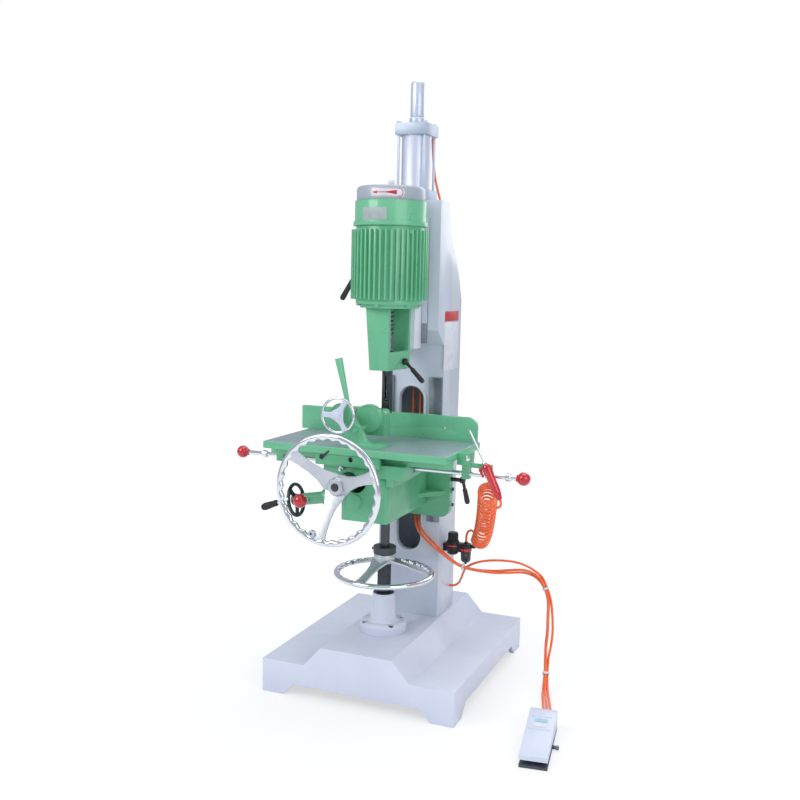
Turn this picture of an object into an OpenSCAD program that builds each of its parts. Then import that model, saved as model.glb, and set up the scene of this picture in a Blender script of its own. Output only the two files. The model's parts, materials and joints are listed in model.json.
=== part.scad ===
/* Floor-standing pneumatic hollow-chisel mortiser.
   X runs along the table, Y from the operator to the column, Z up.
   Y places are counted from the front face of the base; in_frame() then moves
   the whole machine so that the origin is the middle of its envelope, on the floor. */

/* [Base] */
// Width of the base casting
base_w = 640; // [560:10:760]
// Depth of the base casting
base_d = 725; // [690:5:860]
// Height of the base's flat wings
base_h = 107; // [90:1:130]
// Height of the ridge that carries the column
ridge_h = 171; // [150:1:200]
// Width of the ridge's flat top
ridge_top_w = 236; // [226:2:260]
// Width of the ridge where it meets the wings
ridge_foot_w = 352; // [300:2:400]
// Length of each foot along the base's edges
foot_w = 72; // [50:1:100]
// Height of the arches between the feet
arch_h = 38; // [20:1:60]
// Wall of the base casting
base_wall = 16; // [10:1:24]

/* [Column] */
// Width of the column
column_w = 218; // [200:2:226]
// Place of the column's front face
column_front = 422; // [420:1:426]
// Depth of the column's lower part
column_d = 160; // [150:2:190]
// Height of the column's top
column_top = 1555; // [1550:1:1575]
// Wall of the column
column_wall = 16; // [10:1:18]
// How far the head's part of the column stands forward
head_step = 65; // [60:1:70]
// Height where that part begins
head_step_z = 1143; // [1130:1:1150]
// Width of the column's front slot
slot_w = 86; // [80:1:96]
// Height of the slot's lower end
slot_bottom = 395; // [380:1:410]
// Height of the slot's upper end
slot_top = 952; // [930:1:970]
// Width of each ground way
way_w = 43; // [36:1:45]
// How far a ground way stands proud
way_t = 8; // [5:0.5:10]

/* [Air cylinder] */
// Side of the cylinder's square heads
cyl_head_w = 108; // [100:1:112]
// Radius of the cylinder's barrel
barrel_r = 49; // [44:0.5:50]
// Wall of the barrel
barrel_wall = 4; // [3:0.5:6]
// Length of the barrel
barrel_l = 170; // [168:1:190]
// Height of each cylinder head
cyl_head_h = 36; // [30:1:44]
// Radius of the piston rod
piston_rod_r = 11; // [8:0.5:14]

/* [Head] */
// Place of the spindle axis
spindle_y = 205; // [204:0.5:206]
// Radius over the motor's fins
motor_r = 119; // [112:1:122]
// Number of fins on the motor
fin_count = 44; // [32:2:52]
// Height where the fins begin
fins_z = 1240; // [1236:1:1246]
// Length of the finned part
fins_l = 210; // [200:1:215]
// Width of the chisel housing's front at its foot
housing_w = 61; // [58:1:64]
// Height of the housing's underside
housing_z = 1023; // [1020:1:1028]
// Side of the hollow chisel
chisel_w = 25; // [20:0.5:26]
// Height of the chisel's tip
chisel_tip_z = 885; // [883:1:892]
// Radius of the auger
auger_r = 9; // [7:0.25:9.5]
// Radius of the spindle
spindle_r = 14; // [12:0.5:17]

/* [Table] */
// Length of the table
table_l = 600; // [560:5:620]
// Depth of the table
table_d = 320; // [312:1:330]
// Place of the table's middle along X
table_x = -30; // [-34:1:-26]
// Place of the table's front edge
table_front = 10; // [6:1:12]
// Height of the table's top
table_z = 798; // [797:0.5:799]
// Thickness of the table's plate
table_t = 22; // [18:1:24]
// Length of the fence
fence_l = 618; // [560:5:640]
// Height of the fence above the table
fence_h = 77; // [60:1:82]
// Thickness of the fence
fence_t = 15; // [10:1:20]

/* [Knee] */
// Width of the knee's box
knee_w = 154; // [150:1:160]
// Place of the knee's front face
knee_front = 40; // [36:1:44]
// Height of the knee's underside
knee_z = 572; // [566:1:576]
// Height of the knee's top
knee_top = 712; // [711:0.5:713]
// Wall of the knee
knee_wall = 12; // [9:0.5:14]
// Width of the slide plate behind the knee
slide_plate_w = 310; // [290:2:316]

/* [Handwheels] */
// Radius of the two large handwheels
wheel_r = 164; // [150:1:166]
// How far the rim of a large handwheel stands from its hub
wheel_dish = 62; // [50:1:64]
// Half the thickness of a large handwheel's rim
wheel_rim_r = 8.5; // [7:0.5:10]
// Radius of the vise handwheel
vise_wheel_r = 56; // [50:1:58]
// Radius of the side handwheel
side_wheel_r = 55; // [48:1:58]
// Radius of a ball knob
ball_r = 20; // [16:0.5:22]

/* [Lift] */
// Place of the lift screw's axis
lift_y = 240; // [236:1:244]
// Place of the lift screw's axis along X
lift_x = -11; // [-14:1:-8]
// Radius of the lift screw
lift_r = 22; // [18:0.5:24]
// Height of the pedestal's top
pedestal_top = 296; // [280:1:298]
// Radius of the pedestal's flange
pedestal_flange_r = 76; // [70:1:84]

/* [Vise] */
// Place of the vise screw along X
vise_x = -75; // [-78:1:-72]
// Height of the vise screw above the table
vise_rise = 98; // [95:0.5:100]
// Thickness of the jaw
jaw_t = 44; // [36:1:46]
// Radius of the vise screw
vise_screw_r = 9; // [7:0.5:10]

/* [Air] */
// Radius of the air hoses
hose_r = 4; // [3.5:0.25:4.5]
// Radius of the coiled hose's turns, to the middle of the hose
coil_r = 27; // [24:0.5:30]
// Turns of the coiled hose
coil_turns = 17; // [12:1:18]
// Width of the foot pedal
pedal_w = 78; // [70:1:90]
// Length of the foot pedal
pedal_l = 262; // [240:2:280]

/* [Hidden] */
$fn = 48;
// Running clearance of parts that turn or slide in each other
run_gap = 0.08;
// Clearance of flat faces on different bodies
face_gap = 0.2;
// Clearance of curved faces and of parts that only pass by
pass_gap = 0.5;
// Overrun of every cut
cut = 3;
// Overlap that makes two shapes of one casting a single solid
merge = 2;

// Envelope: the front wheel's rim, the base's back
big_wheel_hub_y = -81;
big_wheel_z = 701;
big_wheel_x = -30;
big_rim_y = big_wheel_hub_y - wheel_dish;
origin_y = (base_d + big_rim_y - wheel_rim_r) / 2;

// Helpers: a block between two corners, a round bar along each axis, a bar between points
module in_frame() { translate([0, -origin_y, 0]) children(); }
module span(x0, x1, y0, y1, z0, z1) {
  translate([x0, y0, z0]) cube([x1 - x0, y1 - y0, z1 - z0]);
}
module bar_x(r, x0, x1, y, z) {
  translate([x0, y, z]) rotate([0, 90, 0]) cylinder(r = r, h = x1 - x0);
}
module bar_y(r, y0, y1, x, z) {
  translate([x, y0, z]) rotate([-90, 0, 0]) cylinder(r = r, h = y1 - y0);
}
module bar_z(r, z0, z1, x, y) {
  translate([x, y, z0]) cylinder(r = r, h = z1 - z0);
}
module bar(p, q, r1, r2) {
  d = q - p;
  translate(p)
    rotate([0, acos(d[2] / norm(d)), atan2(d[1], d[0])])
      cylinder(r1 = r1, r2 = r2, h = norm(d));
}
module ring_z(r_out, r_in, z0, z1, x, y) {
  difference() {
    bar_z(r_out, z0, z1, x, y);
    bar_z(r_in, z0 - cut, z1 + cut, x, y);
  }
}
// A block with round upright edges
module round_block(w, y0, y1, r, z0, z1) {
  span(-w / 2 + r, w / 2 - r, y0, y1, z0, z1);
  span(-w / 2, w / 2, y0 + r, y1 - r, z0, z1);
  for (sx = [-1, 1])
    for (y = [y0 + r, y1 - r]) bar_z(r, z0, z1, sx * (w / 2 - r), y);
}
// An outline drawn in X and Z, pushed along Y, or drawn in Y and Z, pushed along X
module along_y(y0, y1) {
  translate([0, y1, 0]) rotate([90, 0, 0]) linear_extrude(y1 - y0) children();
}
module along_x(x0, x1) {
  translate([x0, 0, 0]) rotate([90, 0, 90]) linear_extrude(x1 - x0) children();
}
// An upright slot with round ends, drawn in X and Z
module slot_outline(w, z0, z1) {
  translate([-w / 2, z0 + w / 2]) square([w, z1 - z0 - w]);
  for (z = [z0 + w / 2, z1 - w / 2]) translate([0, z]) circle(w / 2);
}

// Base
ridge_top_half = ridge_top_w / 2;
ridge_foot_half = ridge_foot_w / 2;
bolt_r = 5;
bolt_head_r = 9;
bolt_head_h = 7;
bolt_grip = 22;
pedestal_flange_h = 34;
bolt_edge = 14;
pedestal_bolt_ring = pedestal_flange_r - bolt_edge;
pad_edge = 9;
column_pad_w = column_w + 2 * pad_edge;
column_pad_y0 = column_front - pad_edge;
column_pad_y1 = column_front + column_d + pad_edge;
module ridge_outline(inset) {
  polygon([
    [-base_w / 2 + inset, -inset], [base_w / 2 - inset, -inset],
    [base_w / 2 - inset, base_h - inset], [ridge_foot_half - inset, base_h - inset],
    [ridge_top_half - inset, ridge_h - inset], [-ridge_top_half + inset, ridge_h - inset],
    [-ridge_foot_half + inset, base_h - inset], [-base_w / 2 + inset, base_h - inset]
  ]);
}
module arch_outline(length) {
  polygon([
    [foot_w, -cut], [foot_w, 0], [foot_w + arch_h, arch_h],
    [length - foot_w - arch_h, arch_h], [length - foot_w, 0], [length - foot_w, -cut]
  ]);
}
module pedestal_bolt_places() {
  for (a = [45:90:315])
    translate([lift_x + pedestal_bolt_ring * cos(a), lift_y + pedestal_bolt_ring * sin(a), 0]) children();
}
module base_casting() {
  color("lightsteelblue") difference() {
    union() {
      along_y(0, base_d) ridge_outline(0);
      span(-column_pad_w / 2, column_pad_w / 2, column_pad_y0, column_pad_y1, base_h - merge, ridge_h);
    }
    along_y(base_wall, base_d - base_wall) ridge_outline(base_wall);
    translate([-base_w / 2, 0, 0]) along_y(-cut, base_d + cut) arch_outline(base_w);
    along_x(-base_w / 2 - cut, base_w / 2 + cut) arch_outline(base_d);
    bar_z(lift_r + merge, 0, ridge_h + cut, lift_x, lift_y);
    pedestal_bolt_places() bar_z(bolt_r + run_gap, ridge_h - base_wall - cut, ridge_h + cut, 0, 0);
  }
}

// Column: its side outline, a hollow one wall inside it, the slots and the ways
column_back = column_front + column_d;
head_front = column_front - head_step;
head_top_d = 83;
head_back = head_front + head_top_d;
back_knee_z = 1239;
back_mid_z = 1318;
back_upper_z = 1410;
back_top_z = 1500;
step_ramp = 53;
rim_w = 9;
rim_t = 5;
head_slot_w = 56;
head_slot_z0 = 1340;
head_slot_z1 = 1460;
side_port_y = 545;
side_port_z = 250;
back_port_x = 66;
back_port_z = 1436;
lower_way_z0 = 500;
lower_way_z1 = 985;
upper_way_z0 = 1100;
upper_way_z1 = 1500;
upper_way_x1 = 73;
// Shares of the back's step at the two bends between the lower part and the top
back_step = column_back - head_back;
back_mid_share = 0.22;
back_upper_share = 0.65;
module column_outline(w) {
  polygon([
    [column_front + w, ridge_h + w], [column_front + w, head_step_z - step_ramp + w / 2],
    [head_front + w, head_step_z + w / 2], [head_front + w, column_top - w],
    [head_back - w, column_top - w], [head_back - w, back_top_z - w / 2],
    [column_back - back_step * back_upper_share - w, back_upper_z],
    [column_back - back_step * back_mid_share - w, back_mid_z],
    [column_back - w, back_knee_z], [column_back - w, ridge_h + w]
  ]);
}
module column() {
  color("lightsteelblue") difference() {
    union() {
      along_x(-column_w / 2, column_w / 2) column_outline(0);
      along_y(column_front - rim_t, column_front + merge)
        slot_outline(slot_w + 2 * rim_w, slot_bottom - rim_w, slot_top + rim_w);
    }
    along_x(-column_w / 2 + column_wall, column_w / 2 - column_wall) column_outline(column_wall);
    along_y(column_front - rim_t - cut, column_front + column_wall + cut)
      slot_outline(slot_w, slot_bottom, slot_top);
    span(-head_slot_w / 2, head_slot_w / 2, head_front - cut, head_front + column_wall + cut,
      head_slot_z0, head_slot_z1);
    bar_z(piston_rod_r + merge, column_top - column_wall - cut, column_top + cut, 0, cylinder_y);
    bar_x(hose_r + run_gap, column_w / 2 - column_wall - cut, column_w / 2 + cut, side_port_y, side_port_z);
    bar_y(hose_r + run_gap, head_back - column_wall, column_back, back_port_x, back_port_z);
  }
}
module way_strips() {
  color("dimgray") for (sx = [-1, 1]) mirror([sx < 0 ? 1 : 0, 0, 0]) {
    span(column_w / 2 - merge - way_w, column_w / 2 - merge, column_front - way_t, column_front,
      lower_way_z0, lower_way_z1);
    span(upper_way_x1 - way_w, upper_way_x1, head_front - way_t, head_front,
      upper_way_z0, upper_way_z1);
  }
}

// Pedestal of the lift screw, its nut and its bolts
pedestal_foot_r = 42;
flange_round = 8;
pedestal_head_r = 36;
nut_r = 29;
nut_l = 60;
nut_rim_r = 33;
nut_rim_t = 3;
module lift_pedestal() {
  color("lightsteelblue") difference() {
    translate([lift_x, lift_y, 0]) rotate_extrude() polygon([
      [lift_r + merge, ridge_h], [pedestal_flange_r, ridge_h],
      [pedestal_flange_r, ridge_h + pedestal_flange_h - flange_round],
      [pedestal_flange_r - flange_round, ridge_h + pedestal_flange_h],
      [pedestal_foot_r + flange_round, ridge_h + pedestal_flange_h],
      [pedestal_foot_r, ridge_h + pedestal_flange_h + flange_round],
      [pedestal_head_r, pedestal_top], [nut_r + run_gap, pedestal_top],
      [nut_r + run_gap, pedestal_top - nut_l], [lift_r + merge, pedestal_top - nut_l]
    ]);
    pedestal_bolt_places() {
      bar_z(bolt_r + run_gap, ridge_h - cut, ridge_h + pedestal_flange_h + cut, 0, 0);
      bar_z(bolt_head_r + merge, ridge_h + bolt_grip, ridge_h + pedestal_flange_h + cut, 0, 0);
    }
  }
}
module lift_nut() {
  color("darkgoldenrod") translate([lift_x, lift_y, 0]) rotate_extrude() polygon([
    [lift_r + run_gap, pedestal_top - nut_l], [nut_r, pedestal_top - nut_l],
    [nut_r, pedestal_top], [nut_rim_r, pedestal_top], [nut_rim_r, pedestal_top + nut_rim_t],
    [lift_r + run_gap, pedestal_top + nut_rim_t]
  ]);
}
module frame_bolts() {
  color("dimgray") pedestal_bolt_places() {
    bar_z(bolt_r, ridge_h - base_wall, ridge_h + bolt_grip + merge, 0, 0);
    translate([0, 0, ridge_h + bolt_grip]) cylinder(r = bolt_head_r, h = bolt_head_h, $fn = 6);
  }
}

// Air cylinder
cylinder_y = 407;
lower_head_top = column_top + cyl_head_h;
barrel_top = lower_head_top + barrel_l;
upper_head_top = barrel_top + cyl_head_h;
tie_r = 4;
tie_edge = 10;
tie_place = cyl_head_w / 2 - tie_edge;
tie_seat = 10;
tie_nut_r = 8;
tie_nut_h = 7;
port_r = 8;
port_l = 12;
port_x = 20;
collar_r = 25;
collar_h = 25;
top_tube_r = 22.5;
top_tube_h = 108;
top_tube_wall = 4;
module tie_places() {
  for (sx = [-1, 1])
    for (sy = [-1, 1]) translate([sx * tie_place, cylinder_y + sy * tie_place, 0]) children();
}
module cyl_head(z0) {
  span(-cyl_head_w / 2, cyl_head_w / 2, cylinder_y - cyl_head_w / 2, cylinder_y + cyl_head_w / 2,
    z0, z0 + cyl_head_h);
}
port_y = cylinder_y + cyl_head_w / 2;
port_z = barrel_top + cyl_head_h / 2;
module cylinder_lower_head() {
  color("silver") difference() {
    cyl_head(column_top);
    bar_z(piston_rod_r + run_gap, column_top - cut, lower_head_top + cut, 0, cylinder_y);
    tie_places() bar_z(tie_r + run_gap, column_top + tie_seat, lower_head_top + cut, 0, 0);
  }
}
module cylinder_barrel() {
  color("whitesmoke")
    ring_z(barrel_r, barrel_r - barrel_wall, lower_head_top, barrel_top, 0, cylinder_y);
}
module cylinder_upper_head() {
  color("silver") difference() {
    union() {
      cyl_head(barrel_top);
      bar_y(port_r, port_y - merge, port_y + port_l, port_x, port_z);
    }
    tie_places() bar_z(tie_r + run_gap, barrel_top - cut, upper_head_top + cut, 0, 0);
  }
}
module tie_rods() {
  color("gray") tie_places() {
    bar_z(tie_r, column_top + tie_seat, upper_head_top + merge, 0, 0);
    translate([0, 0, upper_head_top]) cylinder(r = tie_nut_r, h = tie_nut_h, $fn = 6);
  }
}
module cylinder_top_tube() {
  color("silver") difference() {
    union() {
      bar_z(collar_r, upper_head_top, upper_head_top + collar_h, 0, cylinder_y);
      bar_z(top_tube_r, upper_head_top, upper_head_top + collar_h + top_tube_h, 0, cylinder_y);
    }
    bar_z(top_tube_r - top_tube_wall, upper_head_top - cut,
      upper_head_top + collar_h + top_tube_h - top_tube_wall, 0, cylinder_y);
  }
}

// Sweep of a round tube through points: tangents, a carried normal and rings of sides
function unit(v) = v / norm(v);
knob_swell = 1.2;
function tangent(p, i) = unit(p[min(i + 1, len(p) - 1)] - p[max(i - 1, 0)]);
function square_to(v, t) = unit(v - (v * t) * t);
function carried(p, first) = [
  for (i = 0, n = square_to(first, tangent(p, 0)); i < len(p);
       i = i + 1, n = i < len(p) ? square_to(n, tangent(p, i)) : n) n
];
function tube_ring(c, t, n, r, sides) =
  [for (k = [0:sides - 1]) c + r * (cos(k * 360 / sides) * n + sin(k * 360 / sides) * cross(t, n))];
module tube(p, r, sides, first = [0, 1, 0.3]) {
  normals = carried(p, first);
  points = [for (i = [0:len(p) - 1]) each tube_ring(p[i], tangent(p, i), normals[i], r, sides)];
  last = (len(p) - 1) * sides;
  skin = [
    for (i = [0:len(p) - 2])
      for (k = [0:sides - 1])
        let (a = i * sides + k, b = i * sides + (k + 1) % sides)
          each [[a, a + sides, b + sides], [a, b + sides, b]]
  ];
  ends = [
    for (k = [1:sides - 2]) each [[0, k, k + 1], [last, last + k + 1, last + k]]
  ];
  polyhedron(points, concat(skin, ends));
}
module hose(p) { tube(p, hose_r, 8); }

// Head: the slide on the column, its lug and the piston rod behind it
slide_w = 108;
slide_back = head_front - way_t - face_gap;
slide_upper_d = 19;
slide_z0 = 1085;
slide_step_z = 1212;
slide_z1 = 1500;
housing_y0 = 145;
housing_side = 26;
housing_flare = 14;
housing_lean = 16;
housing_x0 = housing_side - housing_w;
housing_in_x0 = -27;
housing_in_x1 = 17;
lock_face_x = 37;
housing_y1 = 290;
housing_top = 1214;
housing_wall = 10;
housing_floor = 40;
lug_w = 48;
lug_z0 = 1420;
lug_z1 = 1450;
lug_back = cylinder_y + 20;
rod_seat_z = lug_z0 + 5;
piston_z0 = 1680;
piston_t = 30;
stop_axis_y = 339.4;
stop_axis_z = 1335;
stop_shaft_r = 7;
stop_bore_x = -28;
module head_slide() {
  color("whitesmoke") difference() {
    union() {
      span(-slide_w / 2, slide_w / 2, housing_y1, slide_back, slide_z0, slide_step_z);
      span(-slide_w / 2, slide_w / 2, slide_back - slide_upper_d, slide_back, slide_step_z - merge, slide_z1);
      span(-lug_w / 2, lug_w / 2, slide_back - merge, lug_back, lug_z0, lug_z1);
    }
    bar_z(piston_rod_r + run_gap, rod_seat_z, lug_z1 + cut, 0, cylinder_y);
    bar_x(stop_shaft_r + run_gap, -slide_w / 2 - cut, stop_bore_x, stop_axis_y, stop_axis_z);
    bar_z(motor_r + pass_gap, slide_step_z, slide_z1 + cut, 0, spindle_y);
  }
}
module piston_rod() {
  color("silver") {
    bar_z(piston_rod_r, rod_seat_z, piston_z0 + merge, 0, cylinder_y);
    bar_z(barrel_r - barrel_wall - run_gap, piston_z0, piston_z0 + piston_t, 0, cylinder_y);
  }
}

// Chisel housing with its window, and the motor flange on top
window_y0 = 157;
window_z0 = 1080;
shank_r = 14;
lock_y = 245;
lock_z = 1047;
lock_stud_r = 6;
lock_stud_x = 22;
motor_ring_r = 89;
motor_flange_r = 103;
motor_flange_t = 14;
flange_top = fins_z;
flange_bolt_r = 8;
flange_bolt_h = 6;
flange_bolt_place = 94.5;
module chisel_housing() {
  color("mediumseagreen") difference() {
    intersection() {
      translate([0, 0, housing_z]) linear_extrude(housing_top - housing_z) polygon([
        [housing_x0 - housing_lean, housing_y0], [housing_side, housing_y0],
        [housing_side + housing_flare, housing_y1], [housing_x0 - housing_lean, housing_y1]]);
      along_y(housing_y0 - cut, housing_y1 + cut) polygon([
        [housing_x0, housing_z - cut], [housing_side + housing_flare + cut, housing_z - cut],
        [housing_side + housing_flare + cut, housing_top + cut], [housing_x0 - housing_lean, housing_top + cut]]);
    }
    span(housing_in_x0, housing_in_x1, housing_y0 + housing_wall, housing_y1 - housing_wall,
      housing_z + housing_floor, housing_top + cut);
    span(0, housing_side + housing_flare + cut, window_y0, housing_y1 - housing_wall, window_z0, housing_top + cut);
    bar_z(shank_r + run_gap, housing_z - cut, housing_z + housing_floor + cut, 0, spindle_y);
    bar_x(lock_stud_r + run_gap, lock_stud_x, housing_side + housing_flare + cut, lock_y, lock_z);
  }
}
module motor_flange() {
  color("mediumseagreen") difference() {
    union() {
      bar_z(motor_flange_r, flange_top - motor_flange_t, flange_top, 0, spindle_y);
      bar_z(motor_ring_r, housing_top, flange_top - merge, 0, spindle_y);
      for (a = [30:60:330])
        translate([flange_bolt_place * cos(a), spindle_y + flange_bolt_place * sin(a),
          flange_top - motor_flange_t - flange_bolt_h])
          cylinder(r = flange_bolt_r, h = flange_bolt_h + merge, $fn = 6);
    }
    bar_z(bearing_r + run_gap, flange_top - bearing_h, flange_top + cut, 0, spindle_y);
    bar_z(spindle_r + merge, housing_top - cut, flange_top + cut, 0, spindle_y);
  }
}

// Motor: finned body, green head, cap, two bearings and the bare plates
bearing_r = 31;
bearing_h = 16;
fin_l = 11;
fin_t = 5;
motor_wall = 12;
motor_gap_r = 105;
motor_rim_z = fins_z + fins_l + 12;
motor_rim_h = 13;
motor_rim_r = 114;
motor_head_r = 109.5;
motor_head_z = motor_rim_z + motor_rim_h;
motor_head_h = 60;
motor_cap_r = 105;
motor_cap_h = 45;
cap_knob_r = 10;
cap_knob_h = 24;
cap_round = 6;
plate_t = 1.5;
arrow_a0 = -103;
arrow_sweep = 58;
arrow_z0 = 9;
arrow_h = 33;
name_a0 = -117;
name_sweep = 44;
name_z0 = 6;
name_h = 46;
motor_lug_w = 22;
motor_lug_h = 18;
spindle_top = motor_head_z + 20;
module motor_body() {
  color("mediumseagreen") difference() {
    union() {
      translate([0, spindle_y, fins_z]) linear_extrude(fins_l) {
        circle(motor_r - fin_l);
        for (k = [0:fin_count - 1])
          rotate(k * 360 / fin_count)
            translate([0, -fin_t / 2]) square([motor_r, fin_t]);
      }
      bar_z(motor_gap_r, fins_z + fins_l - merge, motor_rim_z, 0, spindle_y);
    }
    bar_z(motor_gap_r - motor_wall, fins_z + motor_wall, motor_rim_z - motor_wall, 0, spindle_y);
    bar_z(spindle_r + pass_gap, fins_z - cut, motor_rim_z + cut, 0, spindle_y);
  }
}
module motor_head() {
  color("mediumseagreen") difference() {
    union() {
      bar_z(motor_rim_r, motor_rim_z, motor_head_z, 0, spindle_y);
      bar_z(motor_head_r, motor_head_z - merge, motor_head_z + motor_head_h, 0, spindle_y);
      translate([0, spindle_y, 0]) rotate(-arrow_sweep / 2)
        span(motor_head_r - merge, motor_rim_r, -motor_lug_w / 2, motor_lug_w / 2, motor_head_z - merge,
          motor_head_z + motor_lug_h);
    }
    bar_z(bearing_r + run_gap, motor_rim_z - cut, motor_rim_z + bearing_h, 0, spindle_y);
    bar_z(motor_head_r - motor_wall, motor_rim_z + 2 * bearing_h, motor_head_z + motor_head_h - motor_wall,
      0, spindle_y);
    bar_z(spindle_r + pass_gap, motor_rim_z, motor_rim_z + 3 * bearing_h, 0, spindle_y);
  }
}
module motor_cap() {
  z = motor_head_z + motor_head_h;
  color("slategray") translate([0, spindle_y, 0]) rotate_extrude() polygon([
    [0, z], [motor_cap_r, z], [motor_cap_r, z + motor_cap_h - cap_round],
    [motor_cap_r - cap_round, z + motor_cap_h], [cap_knob_r, z + motor_cap_h],
    [cap_knob_r, z + motor_cap_h + cap_knob_h], [0, z + motor_cap_h + cap_knob_h]
  ]);
}
module round_plate(r, a0, sweep, z0, h) {
  translate([0, spindle_y, z0]) rotate(a0) rotate_extrude(angle = sweep)
    translate([r, 0]) square([plate_t, h]);
}
module motor_plates() {
  color("whitesmoke") {
    round_plate(motor_cap_r, arrow_a0, arrow_sweep, motor_head_z + motor_head_h + arrow_z0, arrow_h - cap_round);
    round_plate(motor_head_r, name_a0, name_sweep, motor_head_z + name_z0, name_h);
  }
}
module motor_bearings() {
  color("silver") {
    ring_z(bearing_r, spindle_r + run_gap, flange_top - bearing_h, flange_top, 0, spindle_y);
    ring_z(bearing_r, spindle_r + run_gap, motor_rim_z, motor_rim_z + bearing_h, 0, spindle_y);
  }
}

// Hollow chisel, the auger in it and the spindle that turns the auger
chisel_bore_r = auger_r + 0.6;
chip_slot_w = 10;
chip_slot_z0 = chisel_tip_z + 40;
chip_slot_z1 = chisel_tip_z + 120;
chisel_edge = 3;
shank_l = 36;
chuck_r = 21;
chuck_z = 1082;
chuck_l = 46;
auger_seat = 26;
flute_r = 4;
module hollow_chisel() {
  color("dimgray") difference() {
    union() {
      span(-chisel_w / 2, chisel_w / 2, spindle_y - chisel_w / 2, spindle_y + chisel_w / 2,
        chisel_tip_z, housing_z);
      bar_z(shank_r, housing_z - merge, housing_z + shank_l, 0, spindle_y);
    }
    bar_z(chisel_bore_r, chisel_tip_z - cut, housing_z + shank_l + cut, 0, spindle_y);
    translate([0, spindle_y, chisel_tip_z - chisel_edge]) rotate_extrude() polygon([
      [0, 0], [chisel_w / 2 + 2 * chisel_edge, 0], [chisel_bore_r, 2 * chisel_edge + chisel_edge], [0, 3 * chisel_edge]
    ]);
    span(-chip_slot_w / 4, chip_slot_w * 3 / 4, spindle_y - chisel_w / 2 - cut, spindle_y,
      chip_slot_z0, chip_slot_z1);
  }
}
module auger_bit() {
  color("gray") difference() {
    bar_z(auger_r, chisel_tip_z, chuck_z + auger_seat, 0, spindle_y);
    for (sx = [-1, 1])
      bar_z(flute_r, chisel_tip_z - cut, housing_z, sx * (auger_r + flute_r / 4), spindle_y);
  }
}
module spindle() {
  color("silver") difference() {
    union() {
      bar_z(chuck_r, chuck_z, chuck_z + chuck_l, 0, spindle_y);
      bar_z(spindle_r, chuck_z, spindle_top, 0, spindle_y);
    }
    bar_z(auger_r + run_gap, chuck_z - cut, chuck_z + auger_seat, 0, spindle_y);
  }
}
lock_arm = [58, -5, -56];
lock_hub_r = 10;
lock_hub_t = 14;
lock_arm_r = 5;
lock_grip_r = 8;
module chisel_lock_lever() {
  hub = [lock_face_x + face_gap + lock_hub_t / 2, lock_y, lock_z];
  color("black") {
    bar_x(lock_stud_r, lock_stud_x + merge, hub[0], lock_y, lock_z);
    bar_x(lock_hub_r, lock_face_x + face_gap, lock_face_x + face_gap + lock_hub_t, lock_y, lock_z);
    bar(hub, hub + lock_arm, lock_arm_r, lock_grip_r);
    translate(hub + lock_arm) sphere(lock_grip_r + knob_swell);
  }
}
stop_shaft_l = 165;
stop_arm = [-55, -4, -95];
stop_collar_r = 9;
stop_collar_l = 26;
stop_grip_r = 9;
stop_arm_r = 5.5;
module depth_stop_lever() {
  elbow = [-stop_shaft_l, stop_axis_y, stop_axis_z];
  color("black") {
    bar_x(stop_shaft_r, -stop_shaft_l, stop_bore_x - merge, stop_axis_y, stop_axis_z);
    bar_x(stop_collar_r, -slide_w / 2 - face_gap - stop_collar_l, -slide_w / 2 - face_gap, stop_axis_y,
      stop_axis_z);
    translate(elbow) sphere(stop_shaft_r + knob_swell);
    bar(elbow, elbow + stop_arm, stop_arm_r, stop_grip_r);
    translate(elbow + stop_arm) sphere(stop_grip_r + knob_swell);
  }
}

// Knee: an open-topped box on a wide slide plate, with the side sleeve
knee_w2 = knee_w / 2;
knee_back = 380;
knee_floor = 16;
plate_z0 = 530;
plate_z1 = 700;
plate_round = 28;
notch_r = 38;
notch_z = 696;
bearing_x = big_wheel_x;
knee_boss_r = 24;
knee_boss_t = 8;
knee_boss_z = 632;
rib_t = 14;
rib_z = 604;
rib_run = 80;
gib_r = 7;
gib_l = 5;
gib_zs = [616, 676];
plate_back = column_front - way_t - face_gap;
sleeve_r = 19;
sleeve_tilt = 10.5;
sleeve_y = 100;
side_wheel_x = -260;
side_wheel_z = 602;
sleeve_end_x = -232;
sleeve_flange_x = -158;
sleeve_flange_r = 27;
side_shaft_r = 9;
slide_lock_x = -207;
slide_lock_r = 6;
clamp_z = 656;
clamp_y = 397;
clamp_stud_r = 7;
clamp_stud_x = 135;
function sleeve_z(x) = side_wheel_z + (x - side_wheel_x) * tan(sleeve_tilt);
function sleeve_at(x) = [x, sleeve_y, sleeve_z(x)];
keeper_lug_w = 2 * 40;
keeper_z0 = 578;
keeper_z1 = 680;
keeper_w = 150;
keeper_t = 14;
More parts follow.
